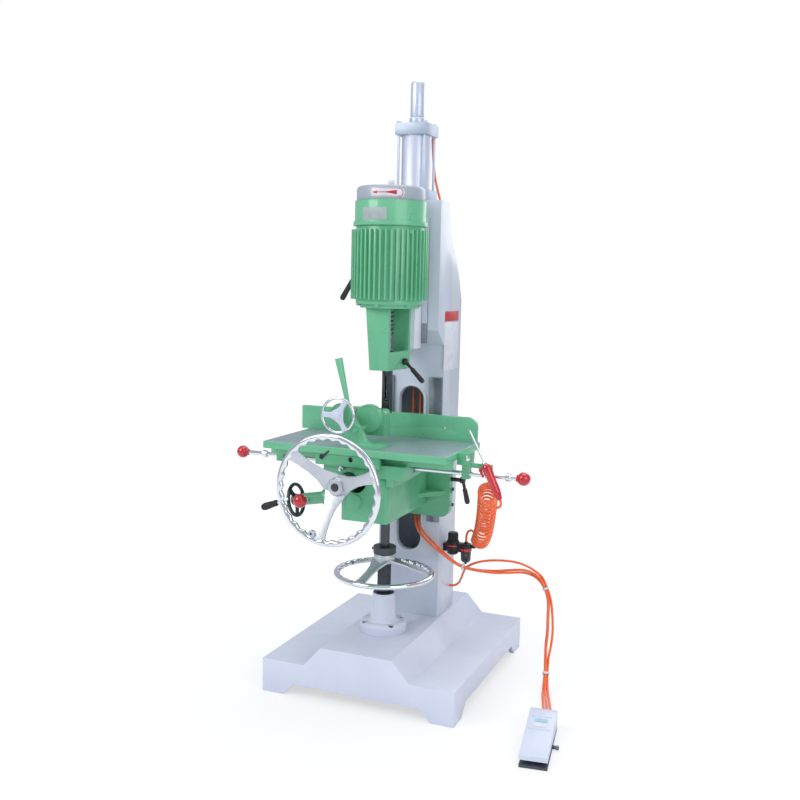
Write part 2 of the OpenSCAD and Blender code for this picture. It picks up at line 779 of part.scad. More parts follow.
module knee_casting() {
  color("mediumseagreen") difference() {
    union() {
      difference() {
        round_block(knee_w, knee_front, knee_back + merge, knee_wall, knee_z, knee_top);
        span(-knee_w2 + knee_wall, knee_w2 - knee_wall, knee_front + knee_wall, knee_back,
          knee_z + knee_floor, knee_top + cut);
      }
      along_y(knee_back, plate_back) {
        translate([-slide_plate_w / 2, plate_z0 + plate_round])
          square([slide_plate_w, plate_z1 - plate_z0 - plate_round]);
        translate([-slide_plate_w / 2 + plate_round, plate_z0])
          square([slide_plate_w - 2 * plate_round, plate_round + merge]);
        for (sx = [-1, 1])
          translate([sx * (slide_plate_w / 2 - plate_round), plate_z0 + plate_round]) circle(plate_round);
      }
      translate([0, 0, rib_z]) linear_extrude(rib_t) for (sx = [-1, 1])
        polygon([[sx * (knee_w2 - merge), knee_back - rib_run], [sx * knee_w2, knee_back - rib_run],
          [sx * (knee_w2 + rib_run - rib_t), knee_back + merge], [sx * (knee_w2 - merge), knee_back + merge]]);
      bar_y(knee_boss_r, knee_front - knee_boss_t, knee_front + merge, bearing_x, knee_boss_z);
      bar(sleeve_at(-knee_w2 + knee_wall / 2), sleeve_at(sleeve_end_x), sleeve_r, sleeve_r);
      bar(sleeve_at(sleeve_flange_x + knee_wall), sleeve_at(sleeve_flange_x), sleeve_flange_r, sleeve_flange_r);
      for (z = gib_zs) bar_x(gib_r, slide_plate_w / 2 - merge, slide_plate_w / 2 + gib_l, clamp_y, z);
    }
    along_y(knee_front - knee_boss_t - cut, knee_front + knee_wall + cut) translate([bearing_x, notch_z]) {
      circle(notch_r);
      translate([-notch_r, 0]) square([2 * notch_r, knee_top - notch_z + cut]);
    }
    bar(sleeve_at(-knee_w2 - merge), sleeve_at(sleeve_end_x - cut), side_shaft_r + run_gap, side_shaft_r + run_gap);
    bar_y(slide_lock_r + run_gap, sleeve_y - sleeve_r - cut, sleeve_y - side_shaft_r - merge, slide_lock_x,
      sleeve_z(slide_lock_x));
    bar_x(clamp_stud_r + run_gap, clamp_stud_x, slide_plate_w / 2 + cut, clamp_y, clamp_z);
    bar_z(lift_rod_r + run_gap, knee_z - cut, knee_z + knee_floor + cut, lift_x, lift_y);
  }
}
module knee_keeper() {
  inner = column_front + column_wall + 2 * face_gap;
  color("gray") {
    span(-keeper_lug_w / 2, keeper_lug_w / 2, plate_back, inner + merge, keeper_z0, keeper_z1);
    span(-keeper_w / 2, keeper_w / 2, inner, inner + keeper_t, keeper_z0, keeper_z1);
  }
}
clamp_arm = [17, 0, -69];
clamp_hub_out = 40;
clamp_hub_r = 11;
clamp_hub_t = 16;
clamp_arm_r = 5.5;
clamp_grip_r = 8;
module knee_clamp_lever() {
  hub = [slide_plate_w / 2 + clamp_hub_out, clamp_y, clamp_z];
  color("black") {
    bar_x(clamp_stud_r, clamp_stud_x + merge, hub[0], clamp_y, clamp_z);
    bar_x(clamp_hub_r, hub[0] - clamp_hub_t / 2, hub[0] + clamp_hub_t / 2, clamp_y, clamp_z);
    bar(hub, hub + clamp_arm, clamp_arm_r, clamp_grip_r);
    translate(hub + clamp_arm) sphere(clamp_grip_r + knob_swell);
  }
}

// Dished handwheel: a round rim, flat spokes and a hub, the axis along Z
module wheel(r, rim_r, dish, hub_r, hub_h, bore_r, spoke_w, spoke_t, angles) {
  rotate_extrude() translate([r - rim_r, 0]) circle(rim_r, $fn = 24);
  difference() {
    translate([0, 0, dish - hub_h / 2]) cylinder(r = hub_r, h = hub_h);
    translate([0, 0, dish - hub_h / 2 - cut]) cylinder(r = bore_r, h = hub_h + 2 * cut);
  }
  for (a = angles)
    rotate([90, 0, a]) translate([0, 0, -spoke_w / 2]) linear_extrude(spoke_w) polygon([
      [(hub_r + bore_r) / 2, dish - spoke_t / 2], [(hub_r + bore_r) / 2, dish + spoke_t / 2],
      [r - rim_r, spoke_t / 2], [r - rim_r, -spoke_t / 2]
    ]);
}

// Lift screw and its handwheel under the knee
lift_screw_z0 = 150;
lift_screw_z1 = 395;
lift_rod_r = 15;
lift_hub_z0 = 395;
lift_hub_h = 32;
lift_hub_r = 35;
lift_collar_z1 = 450;
lift_collar_r = 37;
lift_rod_top = knee_z + knee_floor;
lift_washer_r = 26;
lift_wheel_z = 360;
spoke_w = 34;
spoke_t = 8;
module lift_screw() {
  color("gray") {
    bar_z(lift_r, lift_screw_z0, lift_screw_z1, lift_x, lift_y);
    bar_z(lift_rod_r, lift_screw_z1 - merge, lift_rod_top, lift_x, lift_y);
    bar_z(lift_collar_r, lift_hub_z0 + lift_hub_h, lift_collar_z1, lift_x, lift_y);
    bar_z(lift_washer_r, knee_z - knee_wall, knee_z - face_gap, lift_x, lift_y);
  }
}
module lift_handwheel() {
  color("silver") translate([lift_x, lift_y, lift_wheel_z])
    wheel(wheel_r, wheel_rim_r, lift_hub_z0 + lift_hub_h / 2 - lift_wheel_z, lift_hub_r, lift_hub_h,
      lift_rod_r + run_gap, spoke_w, spoke_t, [140, 20, 260]);
}

// Side handwheel with its crank grip, and the ball lever that locks it
side_rim_r = 6;
side_hub_r = 17;
side_hub_h = 22;
crank_up = 12;
crank_stem_l = 42;
crank_stem_r = 6;
crank_grip_r = 12;
crank_tilt = 11.5;
crank_grip_l = 58;
side_spoke_w = 20;
module side_handwheel() {
  color("dimgray") translate(sleeve_at(side_wheel_x)) rotate([0, -90 - sleeve_tilt, 0]) {
    wheel(side_wheel_r, side_rim_r, 0, side_hub_r, side_hub_h, side_shaft_r / 2, side_spoke_w, spoke_t,
      [-76, 44, 164]);
    translate([0, 0, -side_wheel_x - knee_w2 > 0 ? side_wheel_x + knee_w2 + merge : 0])
      cylinder(r = side_shaft_r, h = -side_wheel_x - knee_w2 - merge + side_hub_h / 2);
    translate([crank_up, -side_wheel_r + side_rim_r, 0]) rotate([0, -crank_tilt, 0]) {
      cylinder(r = crank_stem_r, h = crank_stem_l + merge);
      translate([0, 0, crank_stem_l]) cylinder(r = crank_grip_r, h = crank_grip_l);
    }
  }
}
ball_y = 25;
ball_rise = 7;
lock_ball_r = ball_r + 2;
lock_neck_l = 34;
module slide_lock_lever() {
  z = sleeve_z(slide_lock_x);
  neck = [slide_lock_x, sleeve_y - sleeve_r - lock_neck_l, z];
  ball = [slide_lock_x, ball_y, z + ball_rise];
  color("crimson") {
    bar_y(slide_lock_r, neck[1], sleeve_y - side_shaft_r - 2 * merge, slide_lock_x, z);
    translate(neck) sphere(slide_lock_r + knob_swell);
    bar(neck, ball, slide_lock_r, slide_lock_r);
    translate(ball) sphere(lock_ball_r);
  }
}

// Saddle on top of the knee, with the bearing of the table's wheel shaft
saddle_w = 260;
saddle_y0 = 30;
saddle_y1 = 310;
saddle_guide_z = table_z - 24 - table_t;
guide_y0 = 80.3;
guide_y1 = 259.7;
flange_w = 22;
saddle_flange_h = 22;
apron_x0 = -150;
apron_x1 = 60;
apron_y0 = 14;
apron_h = 34;
socket_r = 7;
socket_depth = 6;
socket_places = [[-130, -10], [-33, -11]];
table_bottom = table_z - table_t;
rod_y = 125;
rod_z = 735;
rod_clear_r = 11;
rack_y0 = 180;
rack_y1 = 200;
rack_z0 = 733.4;
pinion_r = 32;
wheel_shaft_r = 12.5;
wheel_bearing_r = 24;
wheel_bearing_y0 = 0;
wheel_bearing_y1 = 150;
channel_gap = 4;
pinion_pass_x0 = -75;
pinion_pass_x1 = 15;
thumb_x = -67;
thumb_y = 18;
thumb_r = 5;
thumb_depth = 20;
module saddle() {
  color("mediumseagreen") difference() {
    union() {
      span(-saddle_w / 2, saddle_w / 2, saddle_y0, saddle_y1, knee_top + face_gap, saddle_guide_z - face_gap);
      span(-saddle_w / 2, saddle_w / 2, guide_y0, guide_y1, saddle_guide_z - merge, table_bottom - face_gap);
      span(apron_x0, apron_x1, apron_y0, saddle_y0 + merge, table_bottom - apron_h, saddle_guide_z - face_gap);
      span(apron_x0, apron_x1, apron_y0, saddle_y0, saddle_guide_z - merge, table_bottom - face_gap);
      for (sx = [-1, 1])
        translate([sx * (knee_w2 + run_gap + face_gap + flange_w / 2), 0, 0])
          span(-flange_w / 2, flange_w / 2, saddle_y0, saddle_y1, knee_top - saddle_flange_h, knee_top + merge);
      bar_y(wheel_bearing_r, wheel_bearing_y0, wheel_bearing_y1, bearing_x, big_wheel_z);
      span(bearing_x - wheel_bearing_r, bearing_x + wheel_bearing_r, saddle_y0, wheel_bearing_y1,
        big_wheel_z, knee_top + merge);
    }
    bar_y(wheel_shaft_r + run_gap, wheel_bearing_y0 - cut, rack_y0, bearing_x, big_wheel_z);
    bar_x(rod_clear_r, apron_x0 - cut, saddle_w, rod_y, rod_z);
    span(-saddle_w / 2 - cut, saddle_w / 2 + cut, rack_y0 - channel_gap, rack_y1 + channel_gap,
      knee_top + 4 * channel_gap, table_bottom);
    span(pinion_pass_x0, pinion_pass_x1, rack_y0 - channel_gap, rack_y1 + channel_gap, knee_top - cut, rod_z);
    for (p = socket_places)
      bar_y(socket_r, apron_y0 - cut, apron_y0 + socket_depth, p[0], table_bottom + p[1]);
    bar_z(thumb_r + run_gap, table_bottom - apron_h - cut, table_bottom - apron_h + thumb_depth, thumb_x, thumb_y + merge);
  }
}
thumb_head_r = 9;
thumb_head_h = 12;
thumb_neck = 2;
module thumb_screw() {
  z = table_bottom - apron_h;
  color("silver") {
    bar_z(thumb_r, z - thumb_neck - merge, z + thumb_depth - merge, thumb_x, thumb_y + merge);
    bar_z(thumb_head_r, z - thumb_neck - thumb_head_h, z - thumb_neck, thumb_x, thumb_y + merge);
  }
}
table_hub_r = 30;
table_hub_h = 34;
shaft_end = 1;
wheel_hole_r = 3.5;
wheel_hole_a = -110;
module table_handwheel() {
  color("silver") difference() {
    translate([bearing_x, big_rim_y, big_wheel_z]) rotate([-90, 0, 0])
      wheel(wheel_r, wheel_rim_r, wheel_dish, table_hub_r, table_hub_h, wheel_shaft_r + run_gap, spoke_w,
        spoke_t, [-140, -20, -260]);
    bar_y(wheel_hole_r, big_rim_y - wheel_dish, big_rim_y + wheel_dish,
      bearing_x + (wheel_r - 3 * wheel_rim_r) * cos(wheel_hole_a),
      big_wheel_z + (wheel_r - 3 * wheel_rim_r) * sin(wheel_hole_a));
  }
}
module table_pinion() {
  color("gray") {
    bar_y(wheel_shaft_r, big_wheel_hub_y - table_hub_h / 2 - shaft_end, rack_y1, bearing_x, big_wheel_z);
    bar_y(pinion_r, rack_y0, rack_y1, bearing_x, big_wheel_z);
    bar_y(table_hub_r, big_wheel_hub_y + table_hub_h / 2, wheel_bearing_y0 - face_gap, bearing_x, big_wheel_z);
  }
}

// Table with its ribs, rack and fence
vise_z = table_z + vise_rise;
table_x0 = table_x - table_l / 2;
table_x1 = table_x + table_l / 2;
table_y0 = table_front;
table_y1 = table_front + table_d;
table_rib_t = 20;
table_rib_h = 24;
module table() {
  color("cadetblue") {
    span(table_x0, table_x1, table_y0, table_y1, table_bottom, table_z);
    span(table_x0, table_x1, guide_y0 - table_rib_t - face_gap, guide_y0 - face_gap,
      table_bottom - table_rib_h, table_bottom + merge);
    span(table_x0, table_x1, guide_y1 + face_gap, guide_y1 + table_rib_t + face_gap,
      table_bottom - table_rib_h, table_bottom + merge);
  }
}
rack_l = 350;
rack_x0 = table_x - rack_l / 2;
rack_x1 = table_x + rack_l / 2;
module table_rack() {
  color("gray") span(rack_x0, rack_x1, rack_y0, rack_y1, rack_z0, table_bottom);
}
fence_over = 25;
fence_x0 = table_x0 - fence_over;
fence_round = 30;
fence_hole_r = 4.5;
fence_hole_x = 155;
fence_hole_z = 38;
module fence() {
  x1 = fence_x0 + fence_l;
  color("mediumseagreen") difference() {
    along_y(table_y1 - fence_t, table_y1) {
      translate([fence_x0, table_z]) square([fence_l, fence_h - fence_round]);
      translate([fence_x0, table_z]) square([fence_l - fence_round, fence_h]);
      translate([x1 - fence_round, table_z + fence_h - fence_round]) circle(fence_round);
    }
    bar_y(fence_hole_r, table_y0, table_y1 + cut, fence_hole_x, table_z + fence_hole_z);
  }
}

// Stop rod, its two brackets, collars and ball knobs
rod_r = 7;
block_w = 25;
block_in = 6;
block_x = table_x0 + block_in;
block_d = 36;
bracket_w = 42;
bracket_z0 = 720;
bracket_cap_z0 = 762;
bracket_leg_in = 14;
bracket_leg_w = 22;
bracket_leg_d = 26;
rod_collar_r = 12;
rod_collar_w = 14;
left_collar_out = 63;
right_collar_out = 112;
left_ball_out = 83;
right_ball_out = 46;
left_collar_x = block_x - left_collar_out;
right_collar_x = table_x1 + bracket_w + right_collar_out;
rod_x0 = left_collar_x - left_ball_out;
rod_x1 = right_collar_x + right_ball_out;
gun_y = 97;
gun_r = 12;
gun_arm_out = 108;
gun_arm_x = table_x1 + gun_arm_out;
gun_head_r = 15;
gun_arm_y = gun_y + gun_head_r + face_gap;
gun_arm_z = 756;
gun_arm_h = 14;
gun_arm_t = 5;
module rod_brackets() {
  color("seagreen") difference() {
    union() {
      span(block_x - block_w / 2, block_x + block_w / 2, rod_y - block_d / 2, rod_y + block_d / 2,
        bracket_z0, table_bottom);
      span(table_x1, table_x1 + bracket_w, rod_y - block_d / 2, rod_y + block_d / 2, bracket_cap_z0, table_z);
      span(table_x1 + bracket_leg_in, table_x1 + bracket_leg_in + bracket_leg_w, rod_y - bracket_leg_d / 2,
        rod_y + bracket_leg_d / 2, bracket_z0, bracket_cap_z0 + merge);
      span(table_x1 + bracket_w / 2, gun_arm_x, gun_arm_y, gun_arm_y + gun_arm_t,
        gun_arm_z, gun_arm_z + gun_arm_h);
    }
    bar_x(rod_r + run_gap, table_x0 - block_w, gun_arm_x, rod_y, rod_z);
  }
}
module stop_rod() {
  color("silver") {
    bar_x(rod_r, rod_x0 + ball_r / 2, rod_x1 - ball_r / 2, rod_y, rod_z);
    bar_x(rod_collar_r, left_collar_x - rod_collar_w / 2, left_collar_x + rod_collar_w / 2, rod_y, rod_z);
    bar_x(rod_collar_r, right_collar_x - rod_collar_w / 2, right_collar_x + rod_collar_w / 2, rod_y, rod_z);
  }
}
module ball_knobs() {
  color("crimson") for (x = [rod_x0, rod_x1]) difference() {
    translate([x, rod_y, rod_z]) sphere(ball_r);
    bar_x(rod_r + run_gap, rod_x0 + ball_r / 2, rod_x1 - ball_r / 2, rod_y, rod_z);
  }
}

// Vise: the bracket on the table, the jaw with its screw and handwheel, the taper lever
vise_foot_x0 = -70;
vise_foot_x1 = 56;
vise_foot_y0 = 35;
vise_foot_y1 = 100;
vise_foot_h = 12;
vise_barrel_r = 24;
vise_barrel_y0 = 24;
vise_barrel_y1 = 66;
vise_arm_y0 = 42;
guide_side = 45;
guide_drop = 46;
guide_x = vise_x + guide_side;
guide_z = vise_z - guide_drop;
guide_r = 7;
guide_rod_y0 = 28;
guide_boss_r = 15;
foot_screw_x = -17;
foot_screw_y = 84;
foot_screw_r = 9;
foot_screw_h = 9;
jaw_left = 20;
jaw_l = 121;
jaw_x0 = vise_x - jaw_left;
jaw_x1 = jaw_x0 + jaw_l;
jaw_y0 = 130;
jaw_below = 72;
jaw_above = 9;
jaw_z0 = vise_z - jaw_below;
jaw_z1 = vise_z + jaw_above;
jaw_round = 16;
jaw_drum_r = 43;
jaw_drum_t = 22;
jaw_drum_side = 53;
jaw_drum_drop = 18;
jaw_drum_x = vise_x + jaw_drum_side;
jaw_drum_z = vise_z - jaw_drum_drop;
screw_seat = 12;
module vise_bracket() {
  top = table_z + vise_foot_h;
  color("mediumseagreen") difference() {
    union() {
      span(vise_foot_x0, vise_foot_x1, vise_foot_y0, vise_foot_y1, table_z, top);
      along_y(vise_arm_y0, vise_barrel_y1) polygon([
        [vise_foot_x0, table_z + merge], [vise_foot_x1 - vise_foot_h, table_z + merge],
        [guide_x + 2 * guide_boss_r, top + vise_foot_h], [guide_x + guide_boss_r, guide_z],
        [vise_x + vise_barrel_r, vise_z], [vise_x, vise_z], [vise_x - vise_barrel_r, vise_z],
        [vise_foot_x0 - vise_foot_h / 2, top + 2 * vise_foot_h]
      ]);
      bar_y(guide_boss_r, vise_arm_y0, vise_barrel_y1, guide_x, guide_z);
      bar_y(vise_barrel_r, vise_barrel_y0, vise_barrel_y1, vise_x, vise_z);
    }
    bar_y(vise_screw_r + run_gap, vise_barrel_y0 - cut, vise_barrel_y1 + cut, vise_x, vise_z);
    bar_y(guide_r + run_gap, vise_arm_y0 - cut, vise_barrel_y1 + cut, guide_x, guide_z);
  }
  color("silver") translate([foot_screw_x, foot_screw_y, top]) cylinder(r = foot_screw_r, h = foot_screw_h, $fn = 6);
}
module vise_jaw() {
  color("mediumseagreen") difference() {
    union() {
      along_y(jaw_y0, jaw_y0 + jaw_t) {
        translate([jaw_x0, jaw_z0]) square([jaw_x1 - jaw_x0, jaw_z1 - jaw_z0 - jaw_round]);
        translate([jaw_x0, jaw_z0]) square([jaw_x1 - jaw_x0 - jaw_round, jaw_z1 - jaw_z0]);
        translate([jaw_x1 - jaw_round, jaw_z1 - jaw_round]) circle(jaw_round);
      }
      bar_y(jaw_drum_r, jaw_y0 - jaw_drum_t, jaw_y0 + merge, jaw_drum_x, jaw_drum_z);
      bar_y(guide_r, guide_rod_y0, jaw_y0 + merge, guide_x, guide_z);
    }
    bar_y(vise_screw_r + run_gap, jaw_y0 - cut, jaw_y0 + screw_seat, vise_x, vise_z);
  }
}
vise_rim_r = 4.5;
vise_hub_r = 13;
vise_hub_h = 16;
vise_wheel_y = 10;
vise_spoke_w = 16;
vise_spoke_t = 5;
module vise_handwheel() {
  color("silver") {
    translate([vise_x, vise_wheel_y, vise_z]) rotate([-90, 0, 0])
      wheel(vise_wheel_r, vise_rim_r, 0, vise_hub_r, vise_hub_h, vise_screw_r / 2, vise_spoke_w, vise_spoke_t,
        [180, 60, -60]);
    bar_y(vise_screw_r, vise_wheel_y, jaw_y0 + screw_seat - merge, vise_x, vise_z);
  }
}
lever_y0 = 26;
lever_t = 12;
lever_eye_r = 34;
lever_lean = 11;
lever_l = 168;
lever_root_side = 29;
lever_root_rise = 4;
lever_low_r = 5.6;
lever_top_r = 11.5;
lever_mid_y = lever_y0 + lever_t / 2;
module vise_lever() {
  color("mediumseagreen") difference() {
    union() {
      bar_y(lever_eye_r, lever_y0, lever_y0 + lever_t, vise_x, vise_z);
      bar([vise_x + lever_root_side, lever_mid_y, vise_z + lever_root_rise],
        [vise_x - lever_lean, lever_mid_y, vise_z + lever_l], lever_low_r, lever_top_r);
    }
    bar_y(vise_barrel_r + run_gap, lever_y0 - cut, lever_y0 + lever_t + cut, vise_x, vise_z);
  }
}

// Air gun in its holder at the table's right end
gun_tip_out = 39;
gun_top_out = 96;
gun_bottom_out = 139;
gun_tip = [table_x1 + gun_tip_out, gun_y, 869];
gun_top = [table_x1 + gun_top_out, gun_y, 762];
gun_bottom = [table_x1 + gun_bottom_out, gun_y, 672];
gun_nozzle_r = 3.5;
gun_tail_r = 9;
trigger_out = 76;
trigger_pivot = [table_x1 + trigger_out, gun_y, 756];
trigger_r = 4;
trigger_l = [9, 0, -22];
gun_lug_out = 88;
gun_lug_x0 = table_x1 + gun_lug_out;
module air_gun() {
  axis = unit(gun_bottom - gun_top);
  color("crimson") difference() {
    union() {
      bar(gun_top, gun_bottom, gun_r, gun_tail_r);
      translate(gun_top) sphere(gun_head_r);
      bar(gun_top, gun_tip, gun_nozzle_r, gun_nozzle_r);
      span(gun_lug_x0, gun_arm_x, gun_y, gun_y + gun_head_r, gun_arm_z, gun_arm_z + gun_arm_h);
      bar_y(2 * trigger_r, gun_y + trigger_r + face_gap, gun_y + gun_r, trigger_pivot[0], trigger_pivot[2]);
      bar_y(2 * trigger_r, gun_y - gun_r, gun_y - trigger_r - face_gap, trigger_pivot[0], trigger_pivot[2]);
      translate([trigger_pivot[0], gun_y - gun_r, trigger_pivot[2]])
        cube([trigger_r * 4, trigger_r * 2 - face_gap, trigger_r * 2]);
      translate([trigger_pivot[0], gun_y + trigger_r + face_gap, trigger_pivot[2]])
        cube([trigger_r * 4, trigger_r * 2 - face_gap, trigger_r * 2]);
    }
    bar_y(trigger_r / 2 + run_gap, gun_y - gun_r - cut, gun_y + gun_r + cut, trigger_pivot[0], trigger_pivot[2]);
  }
}
module gun_trigger() {
  color("crimson") {
    bar_y(trigger_r / 2, gun_y - gun_r, gun_y + gun_r, trigger_pivot[0], trigger_pivot[2]);
    bar_y(trigger_r, gun_y - trigger_r, gun_y + trigger_r, trigger_pivot[0], trigger_pivot[2]);
    bar(trigger_pivot, trigger_pivot + trigger_l, trigger_r, trigger_r * 3 / 4);
  }
}

// Air preparation unit on the column's right side
unit_y = 477;
reg_x = 140;
reg_r = 20;
reg_z0 = 382;
reg_z1 = 430;
bowl_x = 187;
bowl_r = 19;
bowl_z0 = 353;
bowl_z1 = 408;
bowl_cap_z1 = 424;
unit_bracket_t = 14;
ring_z0 = 418;
ring_h = 10;
supply_z = 416;
fitting_r = 7;
fitting_l = 14;
knob_r = 18;
knob_z1 = 458;
knob_stem_r = 8;
knob_stem_l = 20;
module air_regulator() {
  color("black") difference() {
    union() {
      bar_z(reg_r, reg_z0, reg_z1, reg_x, unit_y);
      bar_z(bowl_r, bowl_z0, bowl_cap_z1, bowl_x, unit_y);
      span(reg_x, bowl_x, unit_y - unit_bracket_t, unit_y + unit_bracket_t, bowl_z1 - unit_bracket_t, bowl_cap_z1);
      span(column_w / 2, reg_x, unit_y - unit_bracket_t, unit_y + unit_bracket_t, reg_z0 + ring_h, reg_z1 - ring_h);
      bar_z(fitting_r, bowl_cap_z1 - merge, bowl_cap_z1 + fitting_l / 2, bowl_x, unit_y);
      bar_x(fitting_r, bowl_x, bowl_x + bowl_r + fitting_l, unit_y, supply_z);
    }
    bar_z(knob_stem_r + run_gap, reg_z1 - knob_stem_l, reg_z1 + cut, reg_x, unit_y);
  }
}
module regulator_knob() {
  color("crimson") {
    bar_z(knob_stem_r, reg_z1 - knob_stem_l + merge, knob_z1 - merge, reg_x, unit_y);
    bar_z(knob_r, reg_z1 + face_gap, knob_z1, reg_x, unit_y);
  }
}

// Free hoses: every route is a list of points chosen by hand
cylinder_route = [[port_x, 473, port_z], [20, 482, 1779], [20, 497, 1770], [20, 503, 1738], [24, 503, 1690],
  [31, 502, 1642], [40, 501, 1606], [50, 503, 1570], [57, 507, 1540], [61, 510, 1510], [65, 509, 1470], [66, 503, 1446], [66, 492, 1437], [66, 480, 1436], [66, 462, 1436]];
hose_a_route = [[12, 470, 1180], [12, 470, 590], [16, 462, 556], [25, 446, 526], [33, 430, 507],
  [38, 416, 494], [52, 405, 474], [81, 400, 448], [137, 405, 401], [168, 416, 374], [196, 424.3, 360],
  [240, 432, 352], [301, 440, 354], [350, 444, 362], [395, 450, 367], [428, 446.5, 362], [456, 438.5, 348],
  [474.5, 433, 319.8], [488, 429, 282.6], [490.5, 423, 232.2], [491.5, 420, 180.2], [488.5, 420, 131.3],
  [490, 415.4, 96.2], [495, 397.8, 52.8], [503, 365.9, 21.4], [513, 329.8, 8.5], [528, 280, 5],
  [545, 220, 5], [554, 165, 10], [559, 140, 24], [559.8, 127, 30], [560.8, 118.5, 30]];
hose_b_route = [[-14, 470, 1180], [-14, 470, 590], [-6, 464, 556], [8, 448, 524], [20, 430, 502],
  [30, 412, 486], [48, 396, 466], [81, 388, 440], [137, 396, 398], [168, 407.4, 374], [196, 415.7, 360],
  [240, 423.4, 352], [301, 432.6, 349.5], [350, 439.5, 354.3], [395, 450, 358], [424.5, 449.5, 353.6],
  [450.5, 443.8, 341.7], [470.5, 440.2, 316.7], [483.5, 436.5, 280.7], [486.5, 430.6, 231.3],
  [487.5, 427.7, 180], [484.5, 427.7, 131.1], [486, 422.8, 94], [490.6, 403.8, 48.1], [496.5, 367.6, 15.9],
  [504.3, 327.7, 6.1], [518.4, 277.2, 4.9], [534.3, 217.6, 5.1], [541.2, 162.9, 10.5], [545.1, 138.3, 24.9],
  [545.8, 125.9, 30.3], [546.9, 116.9, 30]];
supply_route = [[100, 545, 250], [122, 545, 250], [142, 538, 262], [160, 515, 288], [178, 486, 321],
  [195, 460, 345], [212, 446, 360], [236, 444, 372.5], [262, 448, 380.5], [300, 452, 386.5],
  [340, 458, 388], [373, 460, 386], [405, 458, 379], [433, 454, 368], [459, 447.5, 352],
  [478.5, 440.8, 320.5], [492.9, 437.6, 282.6], [502, 431.5, 232.1], [505.5, 428.5, 179.6],
  [501.5, 428.5, 130.4], [497, 423.2, 94.4], [499.4, 404.4, 49], [509.5, 370, 17.3], [521.7, 332.5, 6.9],
  [537.6, 282.8, 5.1], [555.7, 222.4, 4.9], [566.8, 167.1, 9.5], [572.9, 141.7, 23.1], [573.8, 128.1, 29.7],
  [574.7, 120.1, 30]];
low_route = [[187, 477, 431], [187, 477, 440], [189, 475, 455], [196, 468, 468], [207, 456.5, 476], [214, 449.6, 478],
  [218, 445, 478]];
mid_route = [[219.3, 443.4, 478], [224, 437.4, 478], [232, 424, 478], [239, 410, 476], [242, 398, 472]];
module cylinder_hose() { color("coral") hose(cylinder_route); }
module hose_a() { color("coral") hose(hose_a_route); }
module hose_b() { color("coral") hose(hose_b_route); }
module hose_supply() { color("coral") hose(supply_route); }
module coil_hose_low() { color("coral") hose(low_route); }
module coil_hose_mid() { color("coral") hose(mid_route); }

// Coil hose: a helix round a curved axis, with a smooth lead at both ends
coil_start = [259, 400, 463];
coil_start_pull = [296, 335, 505];
coil_end_pull = gun_bottom + [-72, 118, -27];
coil_end = gun_bottom + [-54, 55, 9];
coil_rings = 8;
coil_lead = 3;
coil_phase = 200;
coil_lead_pull = 45;
gun_axis = unit(gun_bottom - gun_top);
function bezier(a, b, c, d, t) =
  a * pow(1 - t, 3) + 3 * b * t * pow(1 - t, 2) + 3 * c * t * t * (1 - t) + d * pow(t, 3);
function bezier_way(a, b, c, d, t) =
  unit(3 * (b - a) * pow(1 - t, 2) + 6 * (c - b) * t * (1 - t) + 3 * (d - c) * t * t);
function coil_axis(t) = bezier(coil_start, coil_start_pull, coil_end_pull, coil_end, t);
function coil_side(t) =
  square_to([1, 0, 0], bezier_way(coil_start, coil_start_pull, coil_end_pull, coil_end, t));
function coil_up(t) =
  cross(bezier_way(coil_start, coil_start_pull, coil_end_pull, coil_end, t), coil_side(t));
function coil_point(t) =
  let (a = coil_phase + 360 * coil_turns * t)
    coil_axis(t) + coil_r * (cos(a) * coil_side(t) + sin(a) * coil_up(t));
coil_steps = coil_turns * coil_rings;
coil_points = [for (i = [0:coil_steps]) coil_point(i / coil_steps)];
end_gap = 1.8;
lead_end = mid_route[len(mid_route) - 1];
lead_way = unit(lead_end - mid_route[len(mid_route) - 2]);
lead_from = lead_end + lead_way * end_gap;
coil_in_way = unit(coil_points[1] - coil_points[0]);
coil_out_way = unit(coil_points[coil_steps] - coil_points[coil_steps - 1]);
lead_in = [
  for (i = [0:coil_lead])
    bezier(lead_from, lead_from + lead_way * coil_r / 2, coil_points[0] - coil_in_way * coil_r / 2,
      coil_points[0], i / (coil_lead + 1))
];
tail_steps = 3 * coil_lead;
lead_out = [
  for (i = [1:tail_steps])
    bezier(coil_points[coil_steps], coil_points[coil_steps] + coil_out_way * coil_lead_pull,
      gun_bottom + gun_axis * coil_lead_pull, gun_bottom + gun_axis * end_gap, i / tail_steps)
];
coil_path = concat(lead_in, coil_points, lead_out);
coil_gap = min([
  for (i = [0:len(coil_path) - 1])
    for (j = [i + coil_rings / 2:len(coil_path) - 1]) norm(coil_path[i] - coil_path[j]) - 2 * hose_r
]);
echo(coil_least_gap = coil_gap);
module coil_hose_top() { color("coral") tube(coil_path, hose_r, 6); }

// Black ties round the hoses where two lie side by side
tie_in_r = 9.9;
tie_out_r = 11.6;
tie_w = 7;
tie_spots = [
  [[196, 420, 360], [240, 428, 352]],
  [[474.5, 438, 319], [490.5, 433, 286]],
  [[495, 402, 50], [483, 454, 127]]
];
module hose_ties() {
  color("white") for (t = tie_spots) {
    way = unit(t[1] - t[0]) * tie_w / 2;
    difference() {
      bar(t[0] - way, t[0] + way, tie_out_r, tie_out_r);
      bar(t[0] - 2 * way, t[0] + 2 * way, tie_in_r, tie_in_r);
    }
  }
}

